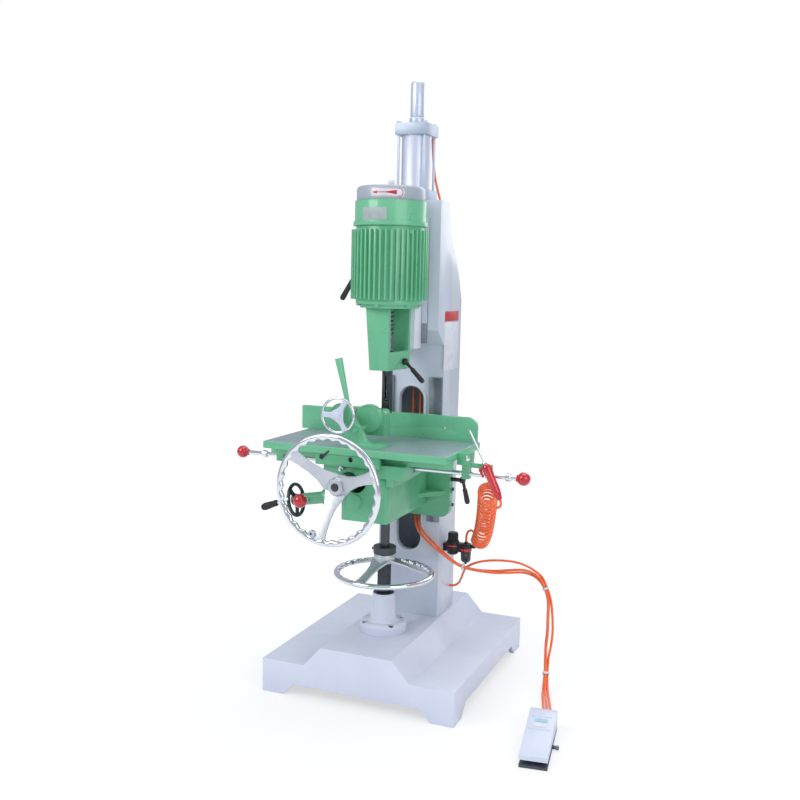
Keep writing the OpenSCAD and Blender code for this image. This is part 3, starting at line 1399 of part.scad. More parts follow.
// Foot pedal on the floor, turned a little: a base with its pivot block and the treadle
pedal_x = 578;
pedal_y = -12;
pedal_turn = 7.5;
pedal_base_h = 8;
pedal_block_w = 60;
pedal_block_y = 82;
pedal_block_h = 50;
pedal_pivot_y = 104;
pedal_pivot_z = 38;
pedal_pin_r = 5;
pedal_wall = 5;
hood_front_z0 = 22;
hood_front_h = 13;
hood_rear_z0 = 11;
hood_rear_h = 66;
hood_crown_y = 90;
hood_rear_y = 124;
pedal_port_x = 14;
pedal_port_z = 30;
pedal_fitting_r = 5;
pedal_fitting_y = 0;
pedal_fitting_l = 18;
module pedal_frame() { translate([pedal_x, pedal_y, 0]) rotate(pedal_turn) children(); }
module hood_outline(inset) {
  polygon([
    [-pedal_l / 2 + inset, hood_front_z0 - (inset > 0 ? cut : 0)],
    [-pedal_l / 2 + inset, hood_front_z0 + hood_front_h - inset],
    [hood_crown_y, hood_rear_h - inset], [hood_rear_y + (inset > 0 ? cut : 0), hood_rear_h - pedal_wall - inset],
    [hood_rear_y + (inset > 0 ? cut : 0), hood_rear_z0 - (inset > 0 ? cut : 0)]
  ]);
}
module pedal_base() {
  color("dimgray") pedal_frame() difference() {
    union() {
      span(-pedal_w / 2, pedal_w / 2, -pedal_l / 2, pedal_l / 2, 0, pedal_base_h);
      span(-pedal_block_w / 2, pedal_block_w / 2, pedal_block_y, pedal_l / 2, 0, pedal_block_h);
      bar_x(pedal_fitting_r, pedal_block_w / 2, pedal_w / 2 + pedal_fitting_l, pedal_fitting_y, pedal_fitting_r + merge);
    }
    bar_x(pedal_pin_r + run_gap, -pedal_w, pedal_w, pedal_pivot_y, pedal_pivot_z);
  }
}
module pedal_treadle() {
  color("lavender") pedal_frame() {
    difference() {
      along_x(-pedal_w / 2, pedal_w / 2) hood_outline(0);
      along_x(-pedal_w / 2 + pedal_wall, pedal_w / 2 - pedal_wall) hood_outline(pedal_wall);
    }
    bar_x(pedal_pin_r, -pedal_w / 2, pedal_w / 2, pedal_pivot_y, pedal_pivot_z);
  }
}

in_frame() base_casting();
in_frame() column();
in_frame() way_strips();
in_frame() lift_pedestal();
in_frame() lift_nut();
in_frame() frame_bolts();
in_frame() cylinder_lower_head();
in_frame() cylinder_barrel();
in_frame() cylinder_upper_head();
in_frame() tie_rods();
in_frame() cylinder_top_tube();
in_frame() cylinder_hose();
in_frame() air_regulator();
in_frame() regulator_knob();
in_frame() head_slide();
in_frame() piston_rod();
in_frame() chisel_housing();
in_frame() motor_flange();
in_frame() motor_body();
in_frame() motor_head();
in_frame() motor_cap();
in_frame() motor_plates();
in_frame() motor_bearings();
in_frame() hollow_chisel();
in_frame() spindle();
in_frame() auger_bit();
in_frame() chisel_lock_lever();
in_frame() depth_stop_lever();
in_frame() knee_casting();
in_frame() knee_keeper();
in_frame() knee_clamp_lever();
in_frame() lift_screw();
in_frame() lift_handwheel();
in_frame() side_handwheel();
in_frame() slide_lock_lever();
in_frame() saddle();
in_frame() thumb_screw();
in_frame() table_handwheel();
in_frame() table_pinion();
in_frame() table();
in_frame() table_rack();
in_frame() fence();
in_frame() rod_brackets();
in_frame() stop_rod();
in_frame() ball_knobs();
in_frame() vise_bracket();
in_frame() vise_jaw();
in_frame() vise_handwheel();
in_frame() vise_lever();
in_frame() air_gun();
in_frame() gun_trigger();
in_frame() coil_hose_low();
in_frame() coil_hose_mid();
in_frame() coil_hose_top();
in_frame() hose_a();
in_frame() hose_b();
in_frame() hose_supply();
in_frame() hose_ties();
in_frame() pedal_base();
in_frame() pedal_treadle();
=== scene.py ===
"""Floor-standing hollow-chisel mortiser, dressed for rendering.

A green motor head slides on a pale column above crossed slides, with chrome
handwheels, a clamp, an air cylinder, orange air hoses and a foot pedal.
Every length is in metres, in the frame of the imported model: X to the
operator's right, Y to the back and Z up from the floor.
"""
from __future__ import annotations

import json
import logging
import math
from dataclasses import dataclass, field
from enum import Enum
from typing import Callable, Iterable, Sequence

import bpy
from mathutils import Matrix, Vector

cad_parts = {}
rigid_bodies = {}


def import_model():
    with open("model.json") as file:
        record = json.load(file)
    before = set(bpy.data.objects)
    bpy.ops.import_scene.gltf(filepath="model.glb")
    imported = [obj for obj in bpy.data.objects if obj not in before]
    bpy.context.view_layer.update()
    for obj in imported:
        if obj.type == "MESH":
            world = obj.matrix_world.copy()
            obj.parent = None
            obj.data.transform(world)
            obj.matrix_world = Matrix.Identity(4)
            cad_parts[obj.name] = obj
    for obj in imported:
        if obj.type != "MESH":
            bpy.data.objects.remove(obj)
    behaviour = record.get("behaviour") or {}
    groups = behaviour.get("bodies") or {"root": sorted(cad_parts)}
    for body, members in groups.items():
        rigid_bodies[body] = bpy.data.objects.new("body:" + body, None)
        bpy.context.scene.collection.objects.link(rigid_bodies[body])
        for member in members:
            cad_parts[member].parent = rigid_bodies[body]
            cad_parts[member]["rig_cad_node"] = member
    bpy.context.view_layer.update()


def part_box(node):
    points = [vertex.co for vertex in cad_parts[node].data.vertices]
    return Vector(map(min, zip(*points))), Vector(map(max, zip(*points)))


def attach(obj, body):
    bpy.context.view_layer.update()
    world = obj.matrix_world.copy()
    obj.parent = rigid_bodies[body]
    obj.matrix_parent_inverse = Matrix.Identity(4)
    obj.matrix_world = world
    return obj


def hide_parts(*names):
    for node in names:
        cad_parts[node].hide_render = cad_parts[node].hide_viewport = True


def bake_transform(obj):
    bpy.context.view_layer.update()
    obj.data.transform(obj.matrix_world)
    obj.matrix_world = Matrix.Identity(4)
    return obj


LOG = logging.getLogger("mortiser")
Point = tuple[float, float, float]
Flat = tuple[float, float]
Piece = bpy.types.Object

# Lengths are metres. FRAME_Y is where the base's front face lies in the frame.
MM = 0.001
FRAME_Y = -0.28675

# The photograph's camera. Angles are radians.
CAMERA_AT: Point = (1.1886, -2.9038, 1.2924)
CAMERA_YAW = 0.3852
CAMERA_PITCH = 0.1185
CAMERA_ROLL = 0.023
CAMERA_FOCAL_PX = 984.94
PHOTO_WIDTH_PX = 800.0
SENSOR_MM = 36.0

# Sizes that several sub-assemblies share. The gun's places are in millimetres.
HOSE_R = 0.004
GUN_TOP: Point = (366, 97, 762)
GUN_BOTTOM: Point = (409, 97, 672)
WHEEL_R = 0.164
WHEEL_RIM_R = 0.0085
WHEEL_SPOKE_T = 0.008
WHEEL_SPOKES = (140.0, 20.0, 260.0)
WHEEL_GRIPS = 30

# Points nearer than MERGE become one. An axis counts as a main one past ALIGNED.
MERGE = 0.00001
ALIGNED = 0.9
FOUR_CORNERS = ((1, 1), (-1, 1), (-1, -1), (1, -1))

UP = Vector((0, 0, 1))
DOWN = Vector((0, 0, -1))
RIGHT = Vector((1, 0, 0))
LEFT = Vector((-1, 0, 0))
FRONT = Vector((0, -1, 0))
BACK = Vector((0, 1, 0))


class Body(Enum):
    """The bodies that the pieces ride on."""

    STAND = "stand"
    HEAD = "head"
    SPINDLE = "spindle_shaft"
    CHISEL_LOCK = "chisel_lock"
    DEPTH_STOP = "depth_stop"
    KNEE = "knee"
    KNEE_CLAMP = "knee_clamp"
    LIFT_WHEEL = "lift_wheel"
    SIDE_WHEEL = "side_wheel"
    SLIDE_LOCK = "slide_lock"
    SADDLE = "saddle_slide"
    APRON_SCREW = "apron_screw"
    TABLE_WHEEL = "table_wheel"
    TABLE = "work_table"
    STOP_BAR = "stop_bar"
    JAW = "clamp_jaw"
    CLAMP_SCREW = "clamp_screw"
    CLAMP_LEVER = "clamp_lever"
    TRIGGER = "trigger"
    AIR_KNOB = "air_knob"
    TREADLE = "treadle"


def millimetres(x: float, y: float, z: float) -> Vector:
    """Turns a place measured from the base's front face into the frame.

    Args:
        x: Distance to the right of the centre plane, in millimetres.
        y: Distance behind the base's front face, in millimetres.
        z: Height above the floor, in millimetres.

    Returns:
        The place in metres.
    """
    return Vector((x * MM, y * MM + FRAME_Y, z * MM))


def around(angle: float) -> Vector:
    """Returns the level direction at an angle from X."""
    return Vector((math.cos(angle), math.sin(angle), 0))


def linear(code: str) -> tuple[float, float, float, float]:
    """Turns a colour code such as "#5bae82" into linear light.

    Args:
        code: Six hexadecimal digits after a hash.

    Returns:
        Red, green, blue and an alpha of one.
    """
    parts = [int(code[i : i + 2], 16) / 255 for i in (1, 3, 5)]
    light = [p / 12.92 if p <= 0.04045 else ((p + 0.055) / 1.055) ** 2.4 for p in parts]
    return (light[0], light[1], light[2], 1.0)


class Signal:
    """A number or colour in a node tree that Python's operators work on."""

    def __init__(self, shader: "Shader", socket: bpy.types.NodeSocket) -> None:
        """Keeps the tree and the socket that carries the value."""
        self.shader = shader
        self.socket = socket

    def _math(self, operation: str, other: object) -> "Signal":
        """Returns what a Math node makes of this and another value."""
        return self.shader.node("ShaderNodeMath", {"operation": operation}, {0: self, 1: other})

    def __add__(self, other: object) -> "Signal":
        """Returns the sum."""
        return self._math("ADD", other)

    def __mul__(self, other: object) -> "Signal":
        """Returns the product."""
        return self._math("MULTIPLY", other)


class Shader:
    """One procedural material and the nodes in it."""

    def __init__(self, name: str) -> None:
        """Makes an empty material of that name."""
        self.material = bpy.data.materials.new(name)
        self.material.use_nodes = True
        self.tree = self.material.node_tree
        self.tree.nodes.clear()

    def node(self, kind: str, settings: dict[str, object] | None = None,
             inputs: dict[object, object] | None = None, output: int | str = 0) -> Signal:
        """Adds a node, sets it up and links its inputs.

        Args:
            kind: The node's type.
            settings: Properties set first.
            inputs: Values or signals by socket name or number.
            output: The output that is handed back.

        Returns:
            The chosen output.
        """
        made = self.tree.nodes.new(kind)
        for key, value in (settings or {}).items():
            setattr(made, key, value)
        for key, value in (inputs or {}).items():
            if isinstance(value, Signal):
                self.tree.links.new(value.socket, made.inputs[key])
            else:
                made.inputs[key].default_value = value
        return Signal(self, made.outputs[output] if made.outputs else None)

    def place(self, stretch: Point = (1.0, 1.0, 1.0)) -> Signal:
        """Returns Object coordinates, stretched along the axes."""
        where = self.node("ShaderNodeTexCoord", output="Object")
        return self.node("ShaderNodeMapping", inputs={"Vector": where, "Scale": stretch})

    def noise(self, scale: float, detail: float = 4.0, rough: float = 0.5,
              stretch: Point = (1.0, 1.0, 1.0)) -> Signal:
        """Returns a noise value from 0 to 1.

        Args:
            scale: How many cells a metre it has.
            detail: How many finer layers lie on it.
            rough: How strong the finer layers are.
            stretch: How it is drawn out along the axes.
        """
        return self.node(
            "ShaderNodeTexNoise",
            inputs={"Vector": self.place(stretch), "Scale": scale, "Detail": detail, "Roughness": rough},
            output="Fac",
        )

    def spread(self, value: Signal, low: float, high: float, to_low: float, to_high: float) -> Signal:
        """Maps a value from one range to another and holds it there."""
        return self.node(
            "ShaderNodeMapRange",
            inputs={"Value": value, "From Min": low, "From Max": high, "To Min": to_low, "To Max": to_high},
        )

    def mix(self, share: object, first: object, second: object) -> Signal:
        """Mixes two colours.

        Args:
            share: How much of the second there is, from 0 to 1.
            first: The first colour.
            second: The second colour.

        Returns:
            The mixed colour.
        """
        made = self.tree.nodes.new("ShaderNodeMix")
        made.data_type = "RGBA"
        for index, value in ((0, share), (6, first), (7, second)):
            if isinstance(value, Signal):
                self.tree.links.new(value.socket, made.inputs[index])
            else:
                made.inputs[index].default_value = value
        return Signal(self, made.outputs[2])

    def edges(self, width: float) -> Signal:
        """Returns how exposed an edge is, from the angle between true and rounded normals."""
        rounded = self.node("ShaderNodeBevel", {"samples": 4}, {"Radius": width})
        flat = self.node("ShaderNodeNewGeometry", output="Normal")
        turn = self.node("ShaderNodeVectorMath", {"operation": "DOT_PRODUCT"}, {0: rounded, 1: flat}, "Value")
        return self.spread(turn, 0.98, 0.80, 0.0, 1.0)

    def bump(self, height: Signal, strength: float, distance: float) -> Signal:
        """Returns a normal raised by a height."""
        return self.node(
            "ShaderNodeBump", inputs={"Height": height, "Strength": strength, "Distance": distance}
        )

    def finish(self, **sockets: object) -> bpy.types.Material:
        """Joins a Principled shader to the output.

        Args:
            sockets: Values or signals by socket name, with _ for spaces.

        Returns:
            The finished material.
        """
        inputs = {key.replace("_", " "): value for key, value in sockets.items()}
        surface = self.node("ShaderNodeBsdfPrincipled", inputs=inputs)
        self.node("ShaderNodeOutputMaterial", inputs={"Surface": surface})
        self.material.diffuse_color = (0.5, 0.5, 0.5, 1.0)
        return self.material


@dataclass(frozen=True)
class Enamel:
    """Sprayed machine enamel over a cast or welded surface."""

    name: str
    colour: str
    shade: str
    roughness: float = 0.32
    cast_depth: float = 0.00035
    cast_scale: float = 260.0
    mottle: float = 0.35
    worn: str = "#6d7476"
    wear: float = 0.25
    broad_scale: float = 9.0
    chip_scale: float = 420.0
    dust_scale: float = 34.0
    skin_scale: float = 1100.0
    edge_width: float = 0.0014
    coat: float = 0.35
    coat_roughness: float = 0.12
    relief: float = 0.22

    def build(self) -> bpy.types.Material:
        """Returns the enamel's material."""
        s = Shader(self.name)
        broad = s.noise(self.broad_scale, 5.0)
        fine = s.noise(self.cast_scale, 3.0, 0.6)
        share = s.spread(broad, 0.35, 0.72, 0.0, self.mottle)
        paint = s.mix(share, linear(self.colour), linear(self.shade))
        chips = s.noise(self.chip_scale, 6.0, 0.7)
        bare = s.spread(s.edges(self.edge_width) * chips, 0.42, 0.60, 0.0, self.wear)
        base = s.mix(bare, paint, linear(self.worn))
        dust = s.spread(s.noise(self.dust_scale, 4.0), 0.3, 0.7, -0.05, 0.09)
        rough = dust + self.roughness + bare * 0.25
        skin = s.noise(self.skin_scale, 2.0) * 0.25 + fine
        return s.finish(
            Base_Color=base, Roughness=rough, Coat_Weight=self.coat, Coat_Roughness=self.coat_roughness,
            Normal=s.bump(skin, self.relief, self.cast_depth),
        )


@dataclass(frozen=True)
class Metal:
    """Bare or plated metal with fine marks from polishing or grinding."""

    name: str
    colour: str
    shade: str
    roughness: float
    grain: Point = (1.0, 1.0, 1.0)
    grain_scale: float = 900.0
    grain_depth: float = 0.00004
    stain: float = 0.3
    metallic: float = 1.0
    cloud_scale: float = 16.0
    relief: float = 0.18

    def build(self) -> bpy.types.Material:
        """Returns the metal's material."""
        s = Shader(self.name)
        marks = s.noise(self.grain_scale, 3.0, 0.6, self.grain)
        cloud = s.noise(self.cloud_scale, 5.0)
        tint = s.spread(cloud, 0.35, 0.75, 0.0, self.stain)
        base = s.mix(tint, linear(self.colour), linear(self.shade))
        rough = s.spread(marks + cloud * 0.6, 0.5, 1.1, self.roughness * 0.75, self.roughness * 1.35)
        return s.finish(
            Base_Color=base, Metallic=self.metallic, Roughness=rough,
            Normal=s.bump(marks, self.relief, self.grain_depth),
        )


@dataclass(frozen=True)
class Moulded:
    """Moulded plastic or rubber, from glossy balls to grained grips."""

    name: str
    colour: str
    shade: str
    roughness: float
    grain_depth: float = 0.00005
    grain_scale: float = 1300.0
    coat: float = 0.0
    coat_roughness: float = 0.05
    cloud_scale: float = 40.0
    relief: float = 0.2

    def build(self) -> bpy.types.Material:
        """Returns the plastic's material."""
        s = Shader(self.name)
        cloud = s.noise(self.cloud_scale, 3.0)
        grain = s.noise(self.grain_scale, 3.0, 0.6)
        base = s.mix(s.spread(cloud, 0.35, 0.7, 0.0, 0.7), linear(self.colour), linear(self.shade))
        rough = s.spread(cloud, 0.3, 0.7, self.roughness * 0.85, self.roughness * 1.2)
        return s.finish(
            Base_Color=base, Roughness=rough, Coat_Weight=self.coat, Coat_Roughness=self.coat_roughness,
            Normal=s.bump(grain, self.relief, self.grain_depth),
        )


GREEN = Enamel("green_enamel", "#6fc093", "#57a97e", 0.30)
# A darker copy of the green enamel with a coarser cast skin. Its darker colour is painted shade, for green parts that
# sit in shadow: the knee, the saddle and the rod brackets.
GREEN_SHADED = Enamel("green_cast_shaded_enamel", "#62b487", "#4a9a70", 0.34, 0.0006, 190.0, 0.5)
BASE_PAINT = Enamel("pale_base_enamel", "#d9deee", "#c8cfe2", 0.36, 0.0006, 170.0, 0.45, "#8d93a6", 0.12)
COLUMN_PAINT = Enamel("column_enamel", "#cfd6e2", "#b9c3d1", 0.34, 0.0004, 200.0, 0.5, "#8d93a6", 0.12)
WHITE_PAINT = Enamel("white_enamel", "#e6eaf2", "#d3d9e5", 0.32, 0.0003, 220.0, 0.35, "#8d93a6", 0.12)
GREY_PAINT = Enamel("grey_enamel", "#aab3bd", "#8e99a5", 0.38, 0.0003, 240.0, 0.4)
PEDAL_PAINT = Enamel("pedal_enamel", "#d7deef", "#c3cce0", 0.42, 0.0002, 420.0, 0.4, "#8d93a6", 0.1)
BLACK_PAINT = Enamel("black_enamel", "#17181b", "#24262a", 0.30, 0.0002, 300.0, 0.5, "#55585c", 0.3)
CHROME = Metal("chrome_plate", "#eef0f4", "#c9ced6", 0.10, (1.0, 1.0, 1.0), 300.0, 0.00002, 0.25)
BARREL = Metal("satin_barrel", "#dde2f2", "#ccd3e6", 0.44, (6.0, 6.0, 0.4), 260.0, 0.00002, 0.3, 0.55)
ALLOY = Metal("cylinder_alloy", "#b3bfce", "#9dabbb", 0.42, (1.0, 1.0, 6.0), 400.0, 0.00004, 0.4, 0.5)
PALE_ALLOY = Metal("pale_tube_alloy", "#d0d8e6", "#bcc6d6", 0.42, (1.0, 1.0, 4.0), 400.0, 0.00003, 0.4, 0.55)
SATIN = Metal("satin_spokes", "#d2d6db", "#b9bfc6", 0.42, (1.0, 1.0, 1.0), 600.0, 0.00005, 0.5)
STEEL = Metal("ground_steel", "#8e989f", "#6c757c", 0.30, (0.3, 0.3, 8.0), 300.0, 0.00005, 0.5)
DARK_STEEL = Metal("oiled_steel", "#5b5d62", "#3d3f44", 0.36, (3.0, 3.0, 1.0), 500.0, 0.00006, 0.6)
TABLE_IRON = Metal("planed_table", "#a3b3bb", "#86a0a0", 0.34, (0.6, 9.0, 1.0), 160.0, 0.00006, 0.55, 0.45)
RED = Moulded("red_knob", "#d01f2d", "#b3141f", 0.16, 0.00002, 500.0, 0.8)
BLACK = Moulded("black_plastic", "#141517", "#202225", 0.38, 0.00008, 1100.0, 0.1)
GRIP = Moulded("black_grip", "#101113", "#1b1c1f", 0.48, 0.00015, 700.0, 0.1)
HOSE = Moulded("orange_hose", "#ff7434", "#f2622a", 0.24, 0.00002, 600.0, 0.5)
SMOKE = Moulded("smoked_bowl", "#23262b", "#33383f", 0.12, 0.00001, 500.0, 0.6)
NAME_PLATE = Moulded("bare_name_plate", "#aebab9", "#93a09f", 0.5, 0.0001, 900.0)
BLUE_LABEL = Moulded("bare_blue_plate", "#a9cfe2", "#95bfd6", 0.4, 0.00002, 500.0, 0.2)
PEDAL_BASE = Enamel("pedal_base_enamel", "#454951", "#393c43", 0.42, 0.0002, 300.0, 0.5, "#8d9096", 0.2)
LABEL = Moulded("bare_plate", "#dfe3ea", "#cdd3dc", 0.36, 0.00002, 500.0, 0.2)
MARK = Moulded("red_mark", "#cc2531", "#b81d29", 0.36, 0.00002, 500.0, 0.2)


Finish = Enamel | Metal | Moulded


class Finishes:
    """Builds each finish once and hands it out."""

    def __init__(self) -> None:
        """Starts with no material made."""
        self._made: dict[str, bpy.types.Material] = {}

    def get(self, finish: Finish) -> bpy.types.Material:
        """Returns the material of a finish."""
        if finish.name not in self._made:
            self._made[finish.name] = finish.build()
        return self._made[finish.name]


class Bench:
    """Modelling as by hand: primitives, edit-mode operators and applied modifiers."""

    def __init__(self, finishes: Finishes) -> None:
        """Keeps the finishes that pieces are dressed in."""
        self.finishes = finishes

    @staticmethod
    def clear() -> None:
        """Deselects everything."""
        if bpy.context.object and bpy.context.object.mode != "OBJECT":
            bpy.ops.object.mode_set(mode="OBJECT")
        bpy.ops.object.select_all(action="DESELECT")

    def pick(self, *objects: Piece) -> None:
        """Selects some objects and makes the first one active.

        Args:
            objects: The objects.
        """
        self.clear()
        for one in objects:
            one.select_set(True)
        bpy.context.view_layer.objects.active = objects[0]

    def edit(self, piece: Piece, work: Callable[[], None]) -> None:
        """Runs edit-mode work on a whole piece.

        Args:
            piece: The piece that is edited.
            work: What is done to it, with everything selected.
        """
        self.pick(piece)
        bpy.ops.object.mode_set(mode="EDIT")
        bpy.ops.mesh.select_all(action="SELECT")
        work()
        bpy.ops.object.mode_set(mode="OBJECT")

    def settle(self, name: str) -> Piece:
        """Names the piece just added and moves its place into its mesh.

        Args:
            name: The piece's name.

        Returns:
            The piece.
        """
        piece = bpy.context.object
        piece.name = name
        self.pick(piece)
        bpy.ops.object.transform_apply(location=True, rotation=True, scale=True)
        return piece

    @staticmethod
    def turn_out(merge: float = MERGE) -> None:
        """Merges the doubles in edit mode and turns the faces outwards."""
        bpy.ops.mesh.remove_doubles(threshold=merge)
        bpy.ops.mesh.normals_make_consistent(inside=False)

    def tidy(self, piece: Piece, merge: float = MERGE) -> Piece:
        """Merges doubles and turns the faces outwards.

        Args:
            piece: The piece.
            merge: Points nearer than this become one.

        Returns:
            The piece.
        """
        self.edit(piece, lambda: self.turn_out(merge))
        return piece

    def smooth(self, piece: Piece, angle: float = 32.0) -> Piece:
        """Shades a piece smooth up to an angle.

        Args:
            piece: The piece.
            angle: Edges sharper than this stay hard, in degrees.

        Returns:
            The piece.
        """
        self.pick(piece)
        bpy.ops.object.shade_smooth_by_angle(angle=math.radians(angle))
        return piece

    def modify(self, piece: Piece, kind: str, **settings: object) -> Piece:
        """Adds a modifier and applies it.

        Args:
            piece: The piece.
            kind: The modifier's type.
            settings: Its properties.

        Returns:
            The piece.
        """
        self.pick(piece)
        made = piece.modifiers.new(kind.lower(), kind)
        for key, value in settings.items():
            setattr(made, key, value)
        bpy.ops.object.modifier_apply(modifier=made.name)
        return piece

    def bevel(self, piece: Piece, width: float, segments: int = 2, angle: float = 35.0) -> Piece:
        """Rounds the edges that are sharper than an angle.

        Args:
            piece: The piece.
            width: The rounding's width.
            segments: The rounding's steps.
            angle: Edges flatter than this stay as they are, in degrees.

        Returns:
            The piece, shaded smooth.
        """
        self.modify(
            piece, "BEVEL", width=width, segments=segments, limit_method="ANGLE",
            angle_limit=math.radians(angle), harden_normals=False, use_clamp_overlap=True,
        )
        return self.smooth(piece)

    def block(self, name: str, low: Sequence[float], high: Sequence[float],
              edge: float = 0.001, segments: int = 2) -> Piece:
        """Makes a block with rounded edges.

        Args:
            name: The piece's name.
            low: Its lower corner.
            high: Its upper corner.
            edge: The rounding's width.
            segments: The rounding's steps.

        Returns:
            The block.
        """
        low_v, high_v = Vector(low), Vector(high)
        self.clear()
        bpy.ops.mesh.primitive_cube_add(size=1.0, location=(low_v + high_v) / 2)
        bpy.context.object.scale = high_v - low_v
        return self.bevel(self.settle(name), edge, segments)

    def rod(self, name: str, start: Vector, end: Vector, r1: float, r2: float | None = None,
            edge: float = 0.0006, sides: int = 32) -> Piece:
        """Makes a round or tapered bar with eased ends.

        Args:
            name: The piece's name.
            start: The middle of its first end.
            end: The middle of its other end.
            r1: The first end's radius.
            r2: The other end's radius, or None for the same.
            edge: The width of the easing.
            sides: How many sides it has.

        Returns:
            The bar.
        """
        way = end - start
        self.clear()
        bpy.ops.mesh.primitive_cone_add(
            vertices=sides, radius1=r1, radius2=r1 if r2 is None else r2, depth=way.length,
            location=(start + end) / 2, rotation=way.to_track_quat("Z", "Y").to_euler(),
        )
        return self.bevel(self.settle(name), edge, 2, 40.0)

    def nut(self, name: str, base: Vector, way: Vector, r: float, h: float,
            washer: float = 1.25) -> Piece:
        """Makes a hexagon head on a washer, standing on a surface.

        Args:
            name: The piece's name.
            base: Where it stands.
            way: Which way it stands up.
            r: The radius over its corners.
            h: Its height with the washer.
            washer: The washer's radius as a share of r.

        Returns:
            The head with its washer.
        """
        tall = way.normalized() * h
        head = self.rod(name, base, base + tall, r, None, r * 0.08, 6)
        plate = self.rod(name + "_washer", base, base + tall * 0.18, r * washer)
        return self.join(name, [head, plate])

    def ball(self, name: str, at: Vector, r: float) -> Piece:
        """Makes a ball.

        Args:
            name: The piece's name.
            at: Its middle.
            r: Its radius.

        Returns:
            The ball.
        """
        self.clear()
        bpy.ops.mesh.primitive_uv_sphere_add(segments=40, ring_count=24, radius=r, location=at)
        return self.smooth(self.settle(name), 60.0)

    def line(self, name: str, points: Iterable[Vector], closed: bool = False, radius: float = 0.0) -> Piece:
        """Draws a line of edges, or a round tube, through points.

        Args:
            name: The piece's name.
            points: The points, in order.
            closed: Whether the line closes on itself.
            radius: The tube's radius, or zero for edges alone.

        Returns:
            The line as a mesh.
        """
        places = list(points)
        curve = bpy.data.curves.new(name, "CURVE")
        curve.dimensions = "3D"
        if radius > 0:
            curve.bevel_depth, curve.bevel_resolution = radius, 4
            curve.use_fill_caps, curve.twist_mode = True, "MINIMUM"
        spline = curve.splines.new("POLY")
        spline.points.add(len(places) - 1)
        for knot, place in zip(spline.points, places):
            knot.co = (*place, 1.0)
        spline.use_cyclic_u = closed
        piece = bpy.data.objects.new(name, curve)
        bpy.context.collection.objects.link(piece)
        self.pick(piece)
        bpy.ops.object.convert(target="MESH")
        return bpy.context.object

    def tube(self, name: str, line: Sequence[Vector], radius: float) -> Piece:
        """Makes a round tube with closed ends along a line of points."""
        return self.smooth(self.tidy(self.line(name, line, radius=radius)), 50.0)

    def spin(self, name: str, profile: Sequence[Flat], centre: Vector, axis: Vector,
             steps: int = 64, ring: bool = False, edge: float = 0.0) -> Piece:
        """Turns an outline about an axis, as on a lathe.

        Args:
            name: The piece's name.
            profile: Radius and distance along the axis, in order.
            centre: Where the distances start.
            axis: The axis's direction.
            steps: How many steps make the turn.
            ring: Whether the outline closes on itself.
            edge: The width of a bevel along the sharp edges.

        Returns:
            The turned piece.
        """
        along = axis.normalized()
        out = along.orthogonal().normalized()
        piece = self.line(name, [centre + out * r + along * h for r, h in profile], ring)

        def work() -> None:
            """Turns the outline round."""
            bpy.ops.mesh.spin(steps=steps, angle=math.tau, center=centre, axis=along)
            self.turn_out()

        self.edit(piece, work)
        return self.bevel(piece, edge, 2, 30.0) if edge > 0 else self.smooth(piece)

    def slab(self, name: str, outline: Sequence[Vector], push: Vector,
             edge: float = 0.001, segments: int = 2) -> Piece:
        """Fills an outline and pushes it into a slab with rounded edges.

        Args:
            name: The piece's name.
            outline: The outline's corners, in order.
            push: How far and which way it is pushed.
            edge: The rounding's width.
            segments: The rounding's steps.

        Returns:
            The slab.
        """
        piece = self.line(name, outline, True)

        def work() -> None:
            """Fills and pushes the outline."""
            bpy.ops.mesh.remove_doubles(threshold=MERGE)
            bpy.ops.mesh.edge_face_add()
            bpy.ops.mesh.extrude_region_move(TRANSFORM_OT_translate={"value": push})
            bpy.ops.mesh.select_all(action="SELECT")
            bpy.ops.mesh.normals_make_consistent(inside=False)

        self.edit(piece, work)
        return self.bevel(piece, edge, segments)

    def ribbon(self, name: str, first: Sequence[Vector], second: Sequence[Vector], thick: float,
               merge: float = MERGE) -> Piece:
        """Spans a sheet between two lines of points and thickens it to both sides.

        Args:
            name: The piece's name.
            first: The points of one edge.
            second: As many points of the other edge.
            thick: The sheet's thickness.
            merge: Points nearer than this become one.

        Returns:
            The sheet.
        """
        piece = self.join(name, [self.line(name, first), self.line(name + "_far", second)])

        def work() -> None:
            """Bridges the two lines."""
            bpy.ops.mesh.bridge_edge_loops()
            bpy.ops.mesh.select_all(action="SELECT")
            bpy.ops.mesh.normals_make_consistent(inside=False)

        self.edit(piece, work)
        self.modify(piece, "SOLIDIFY", thickness=thick, offset=0.0)
        return self.tidy(piece, merge)

    def join(self, name: str, pieces: Sequence[Piece]) -> Piece:
        """Joins pieces into one.

        Args:
            name: The joined piece's name.
            pieces: The pieces.

        Returns:
            The joined piece.
        """
        self.pick(*pieces)
        if len(pieces) > 1:
            bpy.ops.object.join()
        joined = bpy.context.object
        joined.name = name
        return joined

    def casting(self, node: str, edge: float, segments: int) -> Piece:
        """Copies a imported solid, merges its triangles and rounds its edges.

        Args:
            node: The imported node.
            edge: The rounding's width.
            segments: The rounding's steps.

        Returns:
            The rounded copy.
        """
        source = next(o for o in bpy.data.objects if o.get("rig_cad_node") == node)
        piece = bpy.data.objects.new(node + "_shell", source.data.copy())
        piece.matrix_world = source.matrix_world
        bpy.context.collection.objects.link(piece)
        self.pick(piece)
        bpy.ops.object.transform_apply(location=True, rotation=True, scale=True)

        def work() -> None:
            """Merges doubles and flat neighbours."""
            bpy.ops.mesh.remove_doubles(threshold=MERGE)
            bpy.ops.mesh.dissolve_limited(angle_limit=math.radians(1.5))

        self.edit(piece, work)
        piece.data.materials.clear()
        return self.bevel(piece, edge, segments, 28.0)

    def cast(self, node: str, edge: float, segments: int, finish: Finish, body: Body, slot: str) -> None:
        """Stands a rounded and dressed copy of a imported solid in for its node."""
        self.dress(self.casting(node, edge, segments), finish, body, slot, node)

